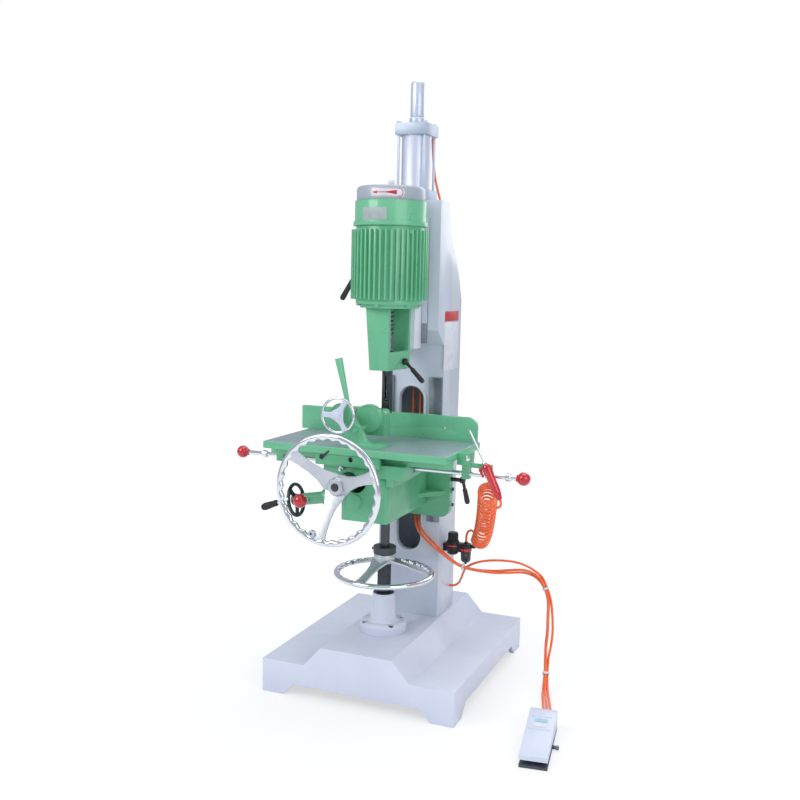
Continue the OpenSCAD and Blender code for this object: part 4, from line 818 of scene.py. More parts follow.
    def dress(self, piece: Piece, finish: Finish, body: Body | None, slot: str, *nodes: str) -> None:
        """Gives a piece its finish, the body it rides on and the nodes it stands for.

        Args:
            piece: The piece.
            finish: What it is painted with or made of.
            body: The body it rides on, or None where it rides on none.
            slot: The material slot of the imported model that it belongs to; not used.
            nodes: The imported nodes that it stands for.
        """
        piece.data.materials.clear()
        piece.data.materials.append(self.finishes.get(finish))
        if body is not None:
            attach(piece, body.value)
        if nodes:
            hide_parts(*nodes)
        LOG.info("%s on %s", piece.name, body.value if body else "two bodies")


def smooth_route(points: Sequence[Vector], steps: int) -> list[Vector]:
    """Runs a smooth line through points.

    Args:
        points: The route's points, in order.
        steps: How many short stretches lie between two points.

    Returns:
        The denser line, ends included.
    """
    line: list[Vector] = []
    last = len(points) - 1
    for i in range(last):
        before, here = points[max(i - 1, 0)], points[i]
        there, after = points[i + 1], points[min(i + 2, last)]
        span = (there - here).length
        pull_in = (there - before).normalized() * span if i else (there - here)
        pull_out = (after - here).normalized() * span if i + 1 < last else (there - here)
        for k in range(steps):
            t = k / steps
            line.append(
                here * (2 * t**3 - 3 * t**2 + 1) + pull_in * (t**3 - 2 * t**2 + t)
                + there * (3 * t**2 - 2 * t**3) + pull_out * (t**3 - t**2)
            )
    line.append(points[last].copy())
    return line


def length_of(line: Sequence[Vector]) -> float:
    """Returns the length of a line of points."""
    return sum((b - a).length for a, b in zip(line, line[1:]))


@dataclass
class Hose:
    """One air hose along a given route."""

    name: str
    node: str
    route: list[Vector]
    radius: float = HOSE_R
    steps: int = 6
    lay: str = "loose"

    def line(self) -> list[Vector]:
        """Returns the hose's centreline."""
        return smooth_route(self.route, self.steps)

    def build(self, bench: Bench, body: Body | None) -> Piece:
        """Args:
            bench: The tools.
            body: The body it rides on, or None where it rides on none.

        Returns:
            The hose.
        """
        line = self.line()
        piece = bench.tube(self.name, line, self.radius)
        bench.dress(piece, HOSE, body, "orange_hose", self.node)
        length_of(line)
        return piece

    def between(self, bench: Bench, first: Body, second: Body, start: Vector, end: Vector) -> None:
        """Makes the hose, on no body, and bakes its place into its mesh.

        Args:
            bench: The tools.
            first: The body of its first end; not used.
            second: The body of its other end; not used.
            start: A place near the first end; not used.
            end: A place near the other end; not used.
        """
        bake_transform(self.build(bench, None))


@dataclass
class CoilHose(Hose):
    """The coiled hose of the air gun: a helix round a curved axis, with leads."""

    start: Vector = field(default_factory=lambda: millimetres(259, 400, 463))
    start_pull: Vector = field(default_factory=lambda: millimetres(296, 335, 505))
    end_pull: Vector = field(default_factory=lambda: millimetres(337, 215, 645))
    end: Vector = field(default_factory=lambda: millimetres(355, 152, 681))
    lead_back: Vector = field(default_factory=lambda: millimetres(238, 412, 484))
    lead_from: Vector = field(default_factory=lambda: millimetres(242, 398, 472))
    gun_top: Vector = field(default_factory=lambda: millimetres(*GUN_TOP))
    gun_bottom: Vector = field(default_factory=lambda: millimetres(*GUN_BOTTOM))
    turns: int = 17
    coil_r: float = 0.027
    phase: float = math.radians(200)
    per_turn: int = 24
    lead_steps: int = 12
    tail_steps: int = 36
    lead_pull: float = 0.045

    @staticmethod
    def _bezier(a: Vector, b: Vector, c: Vector, d: Vector, t: float) -> Vector:
        """Returns a point on a cubic curve."""
        return a * (1 - t) ** 3 + 3 * b * t * (1 - t) ** 2 + 3 * c * t * t * (1 - t) + d * t**3

    def _helix(self, t: float) -> Vector:
        """Returns a point on the coil.

        Args:
            t: How far along the coil it is, from 0 to 1.
        """
        way = (
            3 * (self.start_pull - self.start) * (1 - t) ** 2
            + 6 * (self.end_pull - self.start_pull) * t * (1 - t)
            + 3 * (self.end - self.end_pull) * t * t
        ).normalized()
        side = (RIGHT - way * way.x).normalized()
        up = way.cross(side)
        turn = self.phase + math.tau * self.turns * t
        middle = self._bezier(self.start, self.start_pull, self.end_pull, self.end, t)
        return middle + self.coil_r * (math.cos(turn) * side + math.sin(turn) * up)

    def line(self) -> list[Vector]:
        """Returns the centreline: lead, coil and the tail into the gun."""
        count = self.turns * self.per_turn
        helix = [self._helix(i / count) for i in range(count + 1)]
        into = (helix[1] - helix[0]).normalized()
        out = (helix[-1] - helix[-2]).normalized()
        lead_way = (self.lead_from - self.lead_back).normalized()
        gun_way = (self.gun_bottom - self.gun_top).normalized()
        half = self.coil_r / 2
        lead = [
            self._bezier(self.lead_from, self.lead_from + lead_way * half, helix[0] - into * half,
                         helix[0], i / self.lead_steps)
            for i in range(self.lead_steps)
        ]
        tail = [
            self._bezier(helix[-1], helix[-1] + out * self.lead_pull, self.gun_bottom + gun_way * self.lead_pull,
                         self.gun_bottom, i / self.tail_steps)
            for i in range(1, self.tail_steps + 1)
        ]
        return lead + helix + tail


def route(*points: Point) -> list[Vector]:
    """Turns a hose's points, in millimetres from the base's front, into the frame."""
    return [millimetres(*p) for p in points]


class Hoses:
    """All the air hoses and their ties."""

    cylinder = route((20, 473, 1779), (20, 482, 1779), (20, 497, 1770), (20, 503, 1738), (24, 503, 1690),
                     (31, 502, 1642), (40, 501, 1606), (50, 503, 1570), (57, 507, 1540), (61, 510, 1510),
                     (65, 509, 1470), (66, 503, 1446), (66, 492, 1437), (66, 480, 1436), (66, 462, 1436))
    supply_a = route(
        (12, 470, 1180), (12, 470, 590), (16, 462, 556), (25, 446, 526), (33, 430, 507), (38, 416, 494),
        (52, 405, 474), (81, 400, 448), (137, 405, 401), (168, 416, 374), (196, 424.3, 360), (240, 432, 352),
        (301, 440, 354), (350, 444, 362), (395, 450, 367), (428, 446.5, 362), (456, 438.5, 348),
        (474.5, 433, 319.8), (488, 429, 282.6), (490.5, 423, 232.2), (491.5, 420, 180.2), (488.5, 420, 131.3),
        (490, 415.4, 96.2), (495, 397.8, 52.8), (503, 365.9, 21.4), (513, 329.8, 8.5), (528, 280, 5),
        (545, 220, 5), (554, 165, 10), (559, 140, 24), (559.8, 127, 30), (560.8, 118.5, 30))
    supply_b = route(
        (-14, 470, 1180), (-14, 470, 590), (-6, 464, 556), (8, 448, 524), (20, 430, 502), (30, 412, 486),
        (48, 396, 466), (81, 388, 440), (137, 396, 398), (168, 407.4, 374), (196, 415.7, 360),
        (240, 423.4, 352), (301, 432.6, 349.5), (350, 439.5, 354.3), (395, 450, 358), (424.5, 449.5, 353.6),
        (450.5, 443.8, 341.7), (470.5, 440.2, 316.7), (483.5, 436.5, 280.7), (486.5, 430.6, 231.3),
        (487.5, 427.7, 180), (484.5, 427.7, 131.1), (486, 422.8, 94), (490.6, 403.8, 48.1),
        (496.5, 367.6, 15.9), (504.3, 327.7, 6.1), (518.4, 277.2, 4.9), (534.3, 217.6, 5.1),
        (541.2, 162.9, 10.5), (545.1, 138.3, 24.9), (545.8, 125.9, 30.3), (546.9, 116.9, 30))
    supply_c = route(
        (100, 545, 250), (122, 545, 250), (142, 538, 262), (160, 515, 288), (178, 486, 321), (195, 460, 345),
        (212, 446, 360), (236, 444, 372.5), (262, 448, 380.5), (300, 452, 386.5), (340, 458, 388),
        (373, 460, 386), (405, 458, 379), (433, 454, 368), (459, 447.5, 352), (478.5, 440.8, 320.5),
        (492.9, 437.6, 282.6), (502, 431.5, 232.1), (505.5, 428.5, 179.6), (501.5, 428.5, 130.4),
        (497, 423.2, 94.4), (499.4, 404.4, 49), (509.5, 370, 17.3), (521.7, 332.5, 6.9), (537.6, 282.8, 5.1),
        (555.7, 222.4, 4.9), (566.8, 167.1, 9.5), (572.9, 141.7, 23.1), (573.8, 128.1, 29.7), (574.7, 120.1, 30))
    low = route((187, 477, 431), (187, 477, 440), (189, 475, 455), (196, 468, 468), (207, 456.5, 476),
                (214, 449.6, 478), (218, 445, 478))
    middle = route((219.3, 443.4, 478), (224, 437.4, 478), (232, 424, 478), (239, 410, 476), (242, 398, 472))

    ties = (((196, 420, 360), (240, 428, 352)), ((474.5, 438, 319), (490.5, 433, 286)),
            ((495, 402, 50), (483, 454, 127)))
    tie_section = [(0.0094, -0.0035), (0.0116, -0.0035), (0.0116, 0.0035), (0.0094, 0.0035)]
    clasp_at = 0.0108
    clasp_half = Vector((0.002, 0.002, 0.002))

    def build(self, bench: Bench) -> None:
        """Makes the hoses, which come before the other pieces.

        Args:
            bench: The tools.
        """
        for name, node, points in (("cylinder_air_hose", "cylinder_hose", self.cylinder),
                                   ("pedal_air_hose", "hose_a", self.supply_a),
                                   ("return_air_hose", "hose_b", self.supply_b),
                                   ("regulator_air_hose", "hose_supply", self.supply_c)):
            Hose(name, node, points).build(bench, Body.STAND)
        Hose("coil_lead_low", "coil_hose_low", self.low).between(
            bench, Body.STAND, Body.KNEE, self.low[1], self.low[-1])
        Hose("coil_lead_upper", "coil_hose_mid", self.middle).between(
            bench, Body.KNEE, Body.SADDLE, self.middle[0], self.middle[-1])
        coil = CoilHose("coil_air_hose", "coil_hose_top", [], lay="coiled")
        coil.between(bench, Body.SADDLE, Body.TABLE, coil.start, coil.end)
        self.bands(bench)

    def bands(self, bench: Bench) -> None:
        """Makes the three pale ties round the hoses, each with its clasp.

        Args:
            bench: The tools.
        """
        pieces = []
        for index, (at, towards) in enumerate(self.ties):
            middle, way = millimetres(*at), (millimetres(*towards) - millimetres(*at)).normalized()
            clasp = middle + way.orthogonal().normalized() * self.clasp_at
            pieces += [bench.spin(f"tie_{index}", self.tie_section, middle, way, 32, True, 0.0004),
                       bench.block(f"clasp_{index}", clasp - self.clasp_half, clasp + self.clasp_half, 0.0005)]
        bench.dress(bench.join("hose_tie_bands", pieces), LABEL, Body.STAND, "white_paint", "hose_ties")


@dataclass
class Handwheel:
    """A handwheel: a rim with finger grips, flat dished spokes and a stepped hub."""

    name: str
    centre: Vector
    axis: Vector
    radius: float
    rim_r: float
    dish: float
    hub_r: float
    hub_h: float
    spoke_w: float
    spoke_t: float
    angles: tuple[float, ...]
    grips: int = 0
    grip_depth: float = 0.0052
    rim_sides: int = 20
    rim_inner: float = 0.86
    rim_depth: float = 0.98
    steps_a_grip: int = 8
    plain_steps: int = 96
    dish_power: float = 1.15
    spoke_from: float = 0.55
    stations: tuple[Flat, ...] = ((0.0, 1.75), (0.12, 1.5), (0.28, 1.02), (0.5, 0.80), (0.76, 0.82), (0.92, 1.0),
                                  (1.0, 1.25))

    def frame(self) -> tuple[Vector, Vector]:
        """Returns the two directions in the rim's plane."""
        if abs(self.axis.y) > ALIGNED:
            return RIGHT, UP
        if abs(self.axis.z) > ALIGNED:
            return RIGHT, BACK
        return BACK, BACK.cross(self.axis).normalized()

    def rim(self, bench: Bench) -> Piece:
        """Makes the rim: a rounded section, drawn into finger grips along its inner side.

        Args:
            bench: The tools.

        Returns:
            The rim.
        """
        middle = self.radius - self.rim_r
        profile = []
        for k in range(self.rim_sides):
            a = math.tau * k / self.rim_sides
            wide = self.rim_inner if math.cos(a) < 0 else 1.0
            profile.append((middle + self.rim_r * math.cos(a) * wide, self.rim_r * self.rim_depth * math.sin(a)))
        steps = self.grips * self.steps_a_grip if self.grips else self.plain_steps
        ring = bench.spin(self.name + "_rim", profile, self.centre, self.axis, steps, True)
        right, up = self.frame()
        for vertex in ring.data.vertices if self.grips else ():
            at = vertex.co - self.centre
            flat = at - self.axis * at.dot(self.axis)
            share = min(1.0, max(0.0, (middle - flat.length) / self.rim_r * 1.5))
            wave = 0.5 + 0.5 * math.cos(self.grips * math.atan2(flat.dot(up), flat.dot(right)))
            vertex.co -= flat.normalized() * self.grip_depth * share * wave
        return ring

    def spoke(self, bench: Bench, angle: float) -> Piece:
        """Makes one spoke, wide at the hub and the rim and drawn in between.

        Args:
            bench: The tools.
            angle: Its direction in the rim's plane, in degrees.

        Returns:
            The spoke.
        """
        right, up = self.frame()
        turn = math.radians(angle)
        out = right * math.cos(turn) + up * math.sin(turn)
        across = self.axis.cross(out).normalized()
        inner, outer = self.hub_r * self.spoke_from, self.radius - self.rim_r * 1.1
        left, far = [], []
        for share, wide in self.stations:
            reach = inner + (outer - inner) * share
            level = self.dish * (1 - share) ** self.dish_power
            middle = self.centre + out * reach + self.axis * (level - self.spoke_t / 2)
            left.append(middle + across * self.spoke_w / 2 * wide)
            far.append(middle - across * self.spoke_w / 2 * wide)
        piece = bench.ribbon(self.name + "_spoke", left, far, self.spoke_t, 2 * MERGE)
        return bench.bevel(piece, self.spoke_t * 0.22, 3, 40.0)

    def spider(self, bench: Bench) -> Piece:
        """Makes the hub with its spokes.

        Args:
            bench: The tools.

        Returns:
            The hub with its spokes.
        """
        half, step = self.hub_h / 2, self.hub_h * 0.2
        profile = [
            (0.0, self.dish - half), (self.hub_r * 0.78, self.dish - half),
            (self.hub_r * 0.82, self.dish - half + step), (self.hub_r, self.dish - half + step * 1.5),
            (self.hub_r, self.dish + half - step * 0.6), (self.hub_r * 0.9, self.dish + half),
            (0.0, self.dish + half),
        ]
        hub = bench.spin(self.name + "_hub", profile, self.centre, self.axis, 48, False, 0.0008)
        return bench.join(self.name + "_spider", [hub, *[self.spoke(bench, a) for a in self.angles]])


@dataclass
class Lever:
    """A bent hand lever with a hub, a thin neck and a swelling grip."""

    name: str
    hub_at: Vector
    hub_axis: Vector
    hub_r: float
    hub_l: float
    grip_end: Vector
    neck_r: float
    grip_r: float
    neck_share: float = 0.34

    def build(self, bench: Bench) -> Piece:
        """Makes the lever.

        Args:
            bench: The tools.

        Returns:
            The lever.
        """
        half = self.hub_l / 2
        profile = [(0.0, -half), (self.hub_r, -half), (self.hub_r, half * 0.5), (self.hub_r * 0.7, half),
                   (0.0, half)]
        hub = bench.spin(self.name + "_hub", profile, self.hub_at, self.hub_axis, 36, False, 0.0007)
        arm = self.grip_end - self.hub_at
        reach = arm.length + self.grip_r
        neck = reach * self.neck_share
        swell = [
            (0.0, 0.0), (self.neck_r * 1.25, 0.0), (self.neck_r, neck * 0.5), (self.neck_r, neck),
            (self.grip_r * 0.92, neck + self.grip_r * 0.4), (self.grip_r * 0.86, neck + self.grip_r),
            (self.grip_r, reach - self.grip_r * 1.2), (self.grip_r * 0.86, reach - self.grip_r * 0.4),
            (self.grip_r * 0.45, reach - self.grip_r * 0.05), (0.0, reach),
        ]
        grip = bench.spin(self.name + "_grip", swell, self.hub_at, arm, 36, False)
        return bench.join(self.name, [hub, grip])


@dataclass
class Stand:
    """The base, the column with its ways, the pedestal and the bolts."""

    foot_bolt_r: float = 0.009
    foot_bolt_h: float = 0.0068
    foot_bolt_down: float = 0.007
    slot_low: float = 0.395
    slot_high: float = 0.952
    slot_half: float = 0.043
    bead_out: float = 0.0045
    bead_r: float = 0.0035
    bead_back: float = 0.0602
    bead_steps: int = 16
    plate_sunk: float = 0.0002
    cover_half: float = 9.25
    covers: tuple[float, ...] = (-64.25, 64.25)

    def build(self, bench: Bench) -> None:
        """Makes the stand's pieces.

        Args:
            bench: The tools.
        """
        bench.cast("base_casting", 0.005, 3, BASE_PAINT, Body.STAND, "base_paint")
        bench.cast("column", 0.006, 3, COLUMN_PAINT, Body.STAND, "column_paint")
        bench.cast("way_strips", 0.0008, 2, STEEL, Body.STAND, "machined_steel")
        bench.cast("lift_pedestal", 0.002, 3, BASE_PAINT, Body.STAND, "base_paint")
        bench.cast("lift_nut", 0.0006, 2, DARK_STEEL, Body.STAND, "bronze")
        bench.dress(self.bolts(bench), DARK_STEEL, Body.STAND, "dark_steel", "frame_bolts")
        self.bead(bench)
        self.plates(bench)

    def bolts(self, bench: Bench) -> Piece:
        """Makes the pedestal's four hexagon bolts on their washers.

        Args:
            bench: The tools.

        Returns:
            The bolts, joined.
        """
        low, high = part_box("frame_bolts")
        middle = (Vector(low) + Vector(high)) / 2
        reach = (high[0] - low[0]) / 2 - self.foot_bolt_r
        heads = []
        for k, (sx, sy) in enumerate(FOUR_CORNERS):
            at = Vector((middle.x + sx * reach, middle.y + sy * reach, high[2] - self.foot_bolt_down))
            heads.append(bench.nut(f"pedestal_bolt_{k}", at, UP, self.foot_bolt_r, self.foot_bolt_h, 1.2))
        return bench.join("pedestal_bolt_heads", heads)

    def bead(self, bench: Bench) -> None:
        """Makes the raised rim round the column's slot.

        Args:
            bench: The tools.
        """
        low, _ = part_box("column")
        front = low[1] + self.bead_back
        r = self.slot_half + self.bead_out
        ring: list[Vector] = []
        for z, start in ((self.slot_high - self.slot_half, 0), (self.slot_low + self.slot_half, 180)):
            for k in range(self.bead_steps + 1):
                a = math.radians(start + k * 180 / self.bead_steps)
                ring.append(Vector((r * math.cos(a), front, z + r * math.sin(a))))
        ring.append(ring[0].copy())
        bead = bench.tube("column_slot_bead", ring, self.bead_r)
        bench.dress(bead, COLUMN_PAINT, Body.STAND, "column_paint")

    def plates(self, bench: Bench) -> None:
        """Makes the two bare plates on the column's side and the covers over its ways.

        Args:
            bench: The tools.
        """
        _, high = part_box("column")
        inner, side = high[0] - self.plate_sunk, high[0]
        red = bench.block("bare_red_plate", (inner, 0.133, 1.170), (side + 0.0012, 0.265, 1.203), 0.0004)
        bench.dress(red, MARK, Body.STAND, "red_plastic")
        pale = bench.block("bare_white_plate", (inner, 0.130, 1.008), (side + 0.0010, 0.272, 1.166), 0.0004)
        bench.dress(pale, LABEL, Body.STAND, "white_paint")
        covers = [bench.block(f"way_cover_{k}", millimetres(x - self.cover_half, 348.3, 1165),
                              millimetres(x + self.cover_half, 349.3, 1500), 0.0003)
                  for k, x in enumerate(self.covers)]
        bench.dress(bench.join("way_covers", covers), COLUMN_PAINT, Body.STAND, "column_paint")


@dataclass
class AirCylinder:
    """The air cylinder on top of the column."""

    y: float = 407.0
    half: float = 0.054
    barrel_r: float = 0.049
    barrel_wall: float = 0.004
    barrel_lip: float = 0.0015
    tie_r: float = 0.004
    tie_in: float = 0.010
    tie_end: float = 0.001
    nut_r: float = 0.0078
    nut_h: float = 0.0064
    nut_down: float = 0.007

    def axis(self, z: float) -> Vector:
        """Returns the place on the cylinder's line at that height in metres."""
        return millimetres(0, self.y, 0) + UP * z

    def build(self, bench: Bench) -> None:
        """Makes the two heads, the barrel, the tie rods and the top tube.

        Args:
            bench: The tools.
        """
        for node in ("cylinder_lower_head", "cylinder_upper_head"):
            bench.cast(node, 0.0022, 3, ALLOY, Body.STAND, "cylinder_alloy")
        low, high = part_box("cylinder_barrel")
        tall, r, wall, lip = high[2] - low[2], self.barrel_r, self.barrel_wall, self.barrel_lip
        profile = [(r - wall, 0.0), (r, 0.0), (r, 0.004), (r - lip, 0.006), (r - lip, tall - 0.006),
                   (r, tall - 0.004), (r, tall), (r - wall, tall)]
        barrel = bench.spin("cylinder_tube", profile, self.axis(low[2]), UP, 96, True, 0.0005)
        bench.dress(barrel, BARREL, Body.STAND, "chrome", "cylinder_barrel")
        self.tie_bars(bench)
        low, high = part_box("cylinder_top_tube")
        tall = high[2] - low[2]
        profile = [(0.0, 0.0), (0.025, 0.0), (0.025, 0.019), (0.0235, 0.0208), (0.0206, 0.0215), (0.0206, 0.0238),
                   (0.0225, 0.0255), (0.0225, tall - 0.006), (0.0195, tall), (0.0, tall)]
        tube = bench.spin("cylinder_adjuster_tube", profile, self.axis(low[2]), UP, 64, False, 0.0008)
        bench.dress(tube, PALE_ALLOY, Body.STAND, "cylinder_alloy", "cylinder_top_tube")

    def tie_bars(self, bench: Bench) -> None:
        """Makes the four tie rods with their nuts.

        Args:
            bench: The tools.
        """
        low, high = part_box("tie_rods")
        reach = self.half - self.tie_in
        bars = []
        for k, (sx, sy) in enumerate(FOUR_CORNERS):
            at = self.axis(0.0) + Vector((sx * reach, sy * reach, 0))
            bars.append(bench.rod(f"tie_{k}", at + UP * (low[2] + self.tie_end), at + UP * (high[2] - self.tie_end),
                                  self.tie_r))
            bars.append(bench.nut(f"tie_nut_{k}", at + UP * (high[2] - self.nut_down), UP, self.nut_r, self.nut_h,
                                  1.15))
        bench.dress(bench.join("cylinder_tie_bars", bars), PALE_ALLOY, Body.STAND, "machined_steel", "tie_rods")


@dataclass
class AirUnit:
    """The filter and regulator on the column's side, with its red ring and knob."""

    y: float = 477.0
    unit_x: float = 140.0
    bowl_x: float = 187.0
    rib_count: int = 24
    rib_out: float = 0.0167
    rib_r: float = 0.0011
    rib_low: float = 0.4365
    rib_high: float = 0.453

    def build(self, bench: Bench) -> None:
        """Makes the unit's body, bowls, fittings and knob.

        Args:
            bench: The tools.
        """
        unit = millimetres(self.unit_x, self.y, 0)
        bowl = millimetres(self.bowl_x, self.y, 0)
        body = bench.spin("regulator_shell", [
            (0.0, 0.382), (0.012, 0.382), (0.0185, 0.386), (0.0195, 0.398), (0.0222, 0.401), (0.0222, 0.425),
            (0.0200, 0.430), (0.0081, 0.430), (0.0081, 0.412), (0.0, 0.412)], unit, UP, 48, False, 0.0006)
        filter_head = bench.spin("filter_head", [
            (0.0, 0.404), (0.019, 0.404), (0.019, 0.420), (0.0165, 0.424), (0.0, 0.424)], bowl, UP, 48, False, 0.0006)
        bridge = bench.block("unit_bridge", millimetres(self.unit_x, self.y - 14, 394),
                             millimetres(self.bowl_x, self.y + 14, 423), 0.0025, 3)
        bracket = bench.block("unit_bracket", millimetres(109, self.y - 13, 393),
                              millimetres(self.unit_x, self.y + 13, 419), 0.0015, 2)
        stub = bench.spin("outlet_stub", [(0.0, 0.423), (0.007, 0.423), (0.007, 0.427), (0.0055, 0.431),
                                          (0.0, 0.431)], bowl, UP, 6, False, 0.0005)
        side = bench.rod("inlet_stub", millimetres(200, self.y, 416), millimetres(220, self.y, 416), 0.0068, 0.0062)
        shell = bench.join("air_unit_shell", [body, filter_head, bridge, bracket, stub, side])
        bench.dress(shell, BLACK, Body.STAND, "black_plastic", "air_regulator")
        glass = bench.spin("filter_bowl", [
            (0.0, 0.353), (0.004, 0.353), (0.005, 0.359), (0.0125, 0.361), (0.0168, 0.367), (0.0178, 0.402),
            (0.0, 0.405)], bowl, UP, 48, False, 0.0005)
        bench.dress(glass, SMOKE, Body.STAND, "black_plastic")
        ring = bench.spin("bowl_ring", [(0.0180, 0.399), (0.0196, 0.399), (0.0200, 0.401), (0.0200, 0.407),
                                        (0.0196, 0.409), (0.0180, 0.409)], bowl, UP, 48, True)
        skirt = bench.spin("regulator_ring", [(0.0220, 0.411), (0.0230, 0.412), (0.0230, 0.4155), (0.0220, 0.4165)],
                           unit, UP, 48, True)
        bench.dress(bench.join("bowl_ring", [ring, skirt]), RED, Body.STAND, "red_plastic")
        bench.dress(self.knob(bench, unit), BLACK, Body.AIR_KNOB, "red_plastic", "regulator_knob")

    def knob(self, bench: Bench, at: Vector) -> Piece:
        """Makes the ribbed knob.

        Args:
            bench: The tools.
            at: The foot of the knob's axis on the floor.

        Returns:
            The knob.
        """
        cap = bench.spin("regulator_cap", [
            (0.0, 0.4115), (0.0079, 0.4115), (0.0079, 0.4302), (0.0155, 0.4302), (0.018, 0.4315), (0.018, 0.4350),
            (0.0168, 0.4360), (0.0168, 0.4540), (0.0150, 0.4578), (0.0, 0.4578)], at, UP, 48, False, 0.0005)
        ribs = []
        for k in range(self.rib_count):
            a = math.tau * k / self.rib_count
            foot = at + around(a) * self.rib_out
            ribs.append(bench.rod(f"rib_{k}", foot + UP * self.rib_low, foot + UP * self.rib_high, self.rib_r, None,
                                  0.0003, 8))
        return bench.join("regulator_cap", [cap, *ribs])


@dataclass
class Head:
    """The motor head: slide, housing, motor, chisel and their levers."""

    y: float = 205.0
    knob_h: float = 0.024
    plate_thick: float = 0.0013
    mark_thick: float = 0.0008
    plate_steps: int = 24
    plate_r: float = 0.105
    mark_r: float = 0.1062
    plate_up: float = 0.0225
    lug_count: int = 4
    lug_out: float = 0.1085
    flute_turns: int = 7
    flute_steps: int = 26
    flute_out: float = 0.0088
    flute_in: float = 0.0030
    flute_thick: float = 0.0022
    groove_count: int = 5
    groove_pitch: float = 0.0075
    spring_r: float = 0.0150
    spring_wire_r: float = 0.0024
    spring_low: float = 1.136
    spring_h: float = 0.078
    spring_points: int = 120
    spring_steps: int = 20
    lock_at: Point = (44.2, 245, 1047)
    stop_at: Point = (-165, 339.4, 1335)
    stop_from_x: float = -30.0
    stop_collar_x: float = -54.4

    def centre(self, z: float = 0.0) -> Vector:
        """Returns a place on the spindle's line."""
        return millimetres(0, self.y, 0) + Vector((0, 0, z))

    def build(self, bench: Bench) -> None:
        """Makes the head's pieces.

        Args:
            bench: The tools.
        """
        bench.cast("head_slide", 0.003, 3, WHITE_PAINT, Body.HEAD, "white_paint")
        bench.cast("piston_rod", 0.0008, 2, CHROME, Body.HEAD, "chrome")
        bench.cast("chisel_housing", 0.005, 3, GREEN, Body.HEAD, "green_paint")
        bench.cast("motor_flange", 0.0018, 3, GREEN, Body.HEAD, "green_paint")
        self.motor(bench)
        self.tooling(bench)
        self.levers(bench)

    def motor(self, bench: Bench) -> None:
        """Makes the motor's finned body, head, cap and plates.

        Args:
            bench: The tools.
        """
        bench.cast("motor_body", 0.0012, 2, GREEN, Body.HEAD, "green_paint")
        bench.cast("motor_head", 0.003, 3, GREEN, Body.HEAD, "green_paint")
        low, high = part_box("motor_cap")
        r, tall = (high[0] - low[0]) / 2, high[2] - low[2] - self.knob_h
        profile = [(0.0, 0.0), (r - 0.001, 0.0), (r, 0.003), (r, tall - 0.009), (r - 0.002, tall - 0.004),
                   (r - 0.007, tall), (0.030, tall), (0.028, tall - 0.002), (0.0, tall - 0.002)]
        cap = bench.spin("motor_fan_cap", profile, self.centre(low[2]), UP, 96, False)
        bench.dress(cap, GREY_PAINT, Body.HEAD, "grey_paint", "motor_cap")
        knob = bench.spin("motor_cap_knob", [
            (0.0, -0.003), (0.0100, -0.003), (0.0100, 0.003), (0.0078, 0.005), (0.0078, 0.010), (0.0098, 0.013),
            (0.0098, 0.020), (0.0080, 0.0236), (0.0, 0.0238)], self.centre(low[2] + tall), UP, 32, False, 0.0004)
        bench.dress(knob, WHITE_PAINT, Body.HEAD, "white_paint")
        bench.cast("motor_bearings", 0.0006, 2, STEEL, Body.HEAD, "machined_steel")
        self.arrow(bench, low[2] + self.plate_up)
        self.rim(bench)
        bead = bench.spin("motor_cap_bead", [(r + 0.001, -0.004), (r + 0.004, -0.003), (r + 0.004, 0.002),
                                             (r + 0.001, 0.003)], self.centre(low[2]), UP, 96, True)
        bench.dress(bead, GREEN, Body.HEAD, "green_paint")

    def curved(self, bench: Bench, name: str, r: float, start: float, sweep: float, z0: float, z1: float,
               thick: float, corner: float = 0.0) -> Piece:
        """Bends a thin plate round the spindle's line.

        Args:
            bench: The tools.
            name: The plate's name.
            r: Radius of its back.
            start: Its first edge's angle, in degrees.
            sweep: The angle that it covers, in degrees.
            z0: Its lower edge.
            z1: Its upper edge.
            thick: Its thickness.
            corner: How far its corners are drawn in.

        Returns:
            The plate.
        """
        low, high = [], []
        for k in range(self.plate_steps + 1):
            share = k / self.plate_steps
            a = math.radians(start + sweep * share)
            out = around(a) * (r + thick / 2)
            edge = min(share, 1 - share) * math.radians(sweep) * r
            inset = corner - math.sqrt(max(0.0, corner**2 - (corner - edge) ** 2)) if edge < corner else 0.0
            low.append(self.centre(z0 + inset) + out)
            high.append(self.centre(z1 - inset) + out)
        return bench.bevel(bench.ribbon(name, low, high, thick), thick * 0.3, 2, 50.0)

    def mark(self, bench: Bench, name: str, start: float, sweep: float, z: float, half: float) -> Piece:
        """Makes one red stroke on the white plate.

        Args:
            bench: The tools.
            name: The stroke's name.
            start: Its first edge's angle, in degrees.
            sweep: The angle that it covers, in degrees.
            z: Its middle's height.
            half: Half its height.

        Returns:
            The stroke.
        """
        return self.curved(bench, name, self.mark_r, start, sweep, z - half, z + half, self.mark_thick)

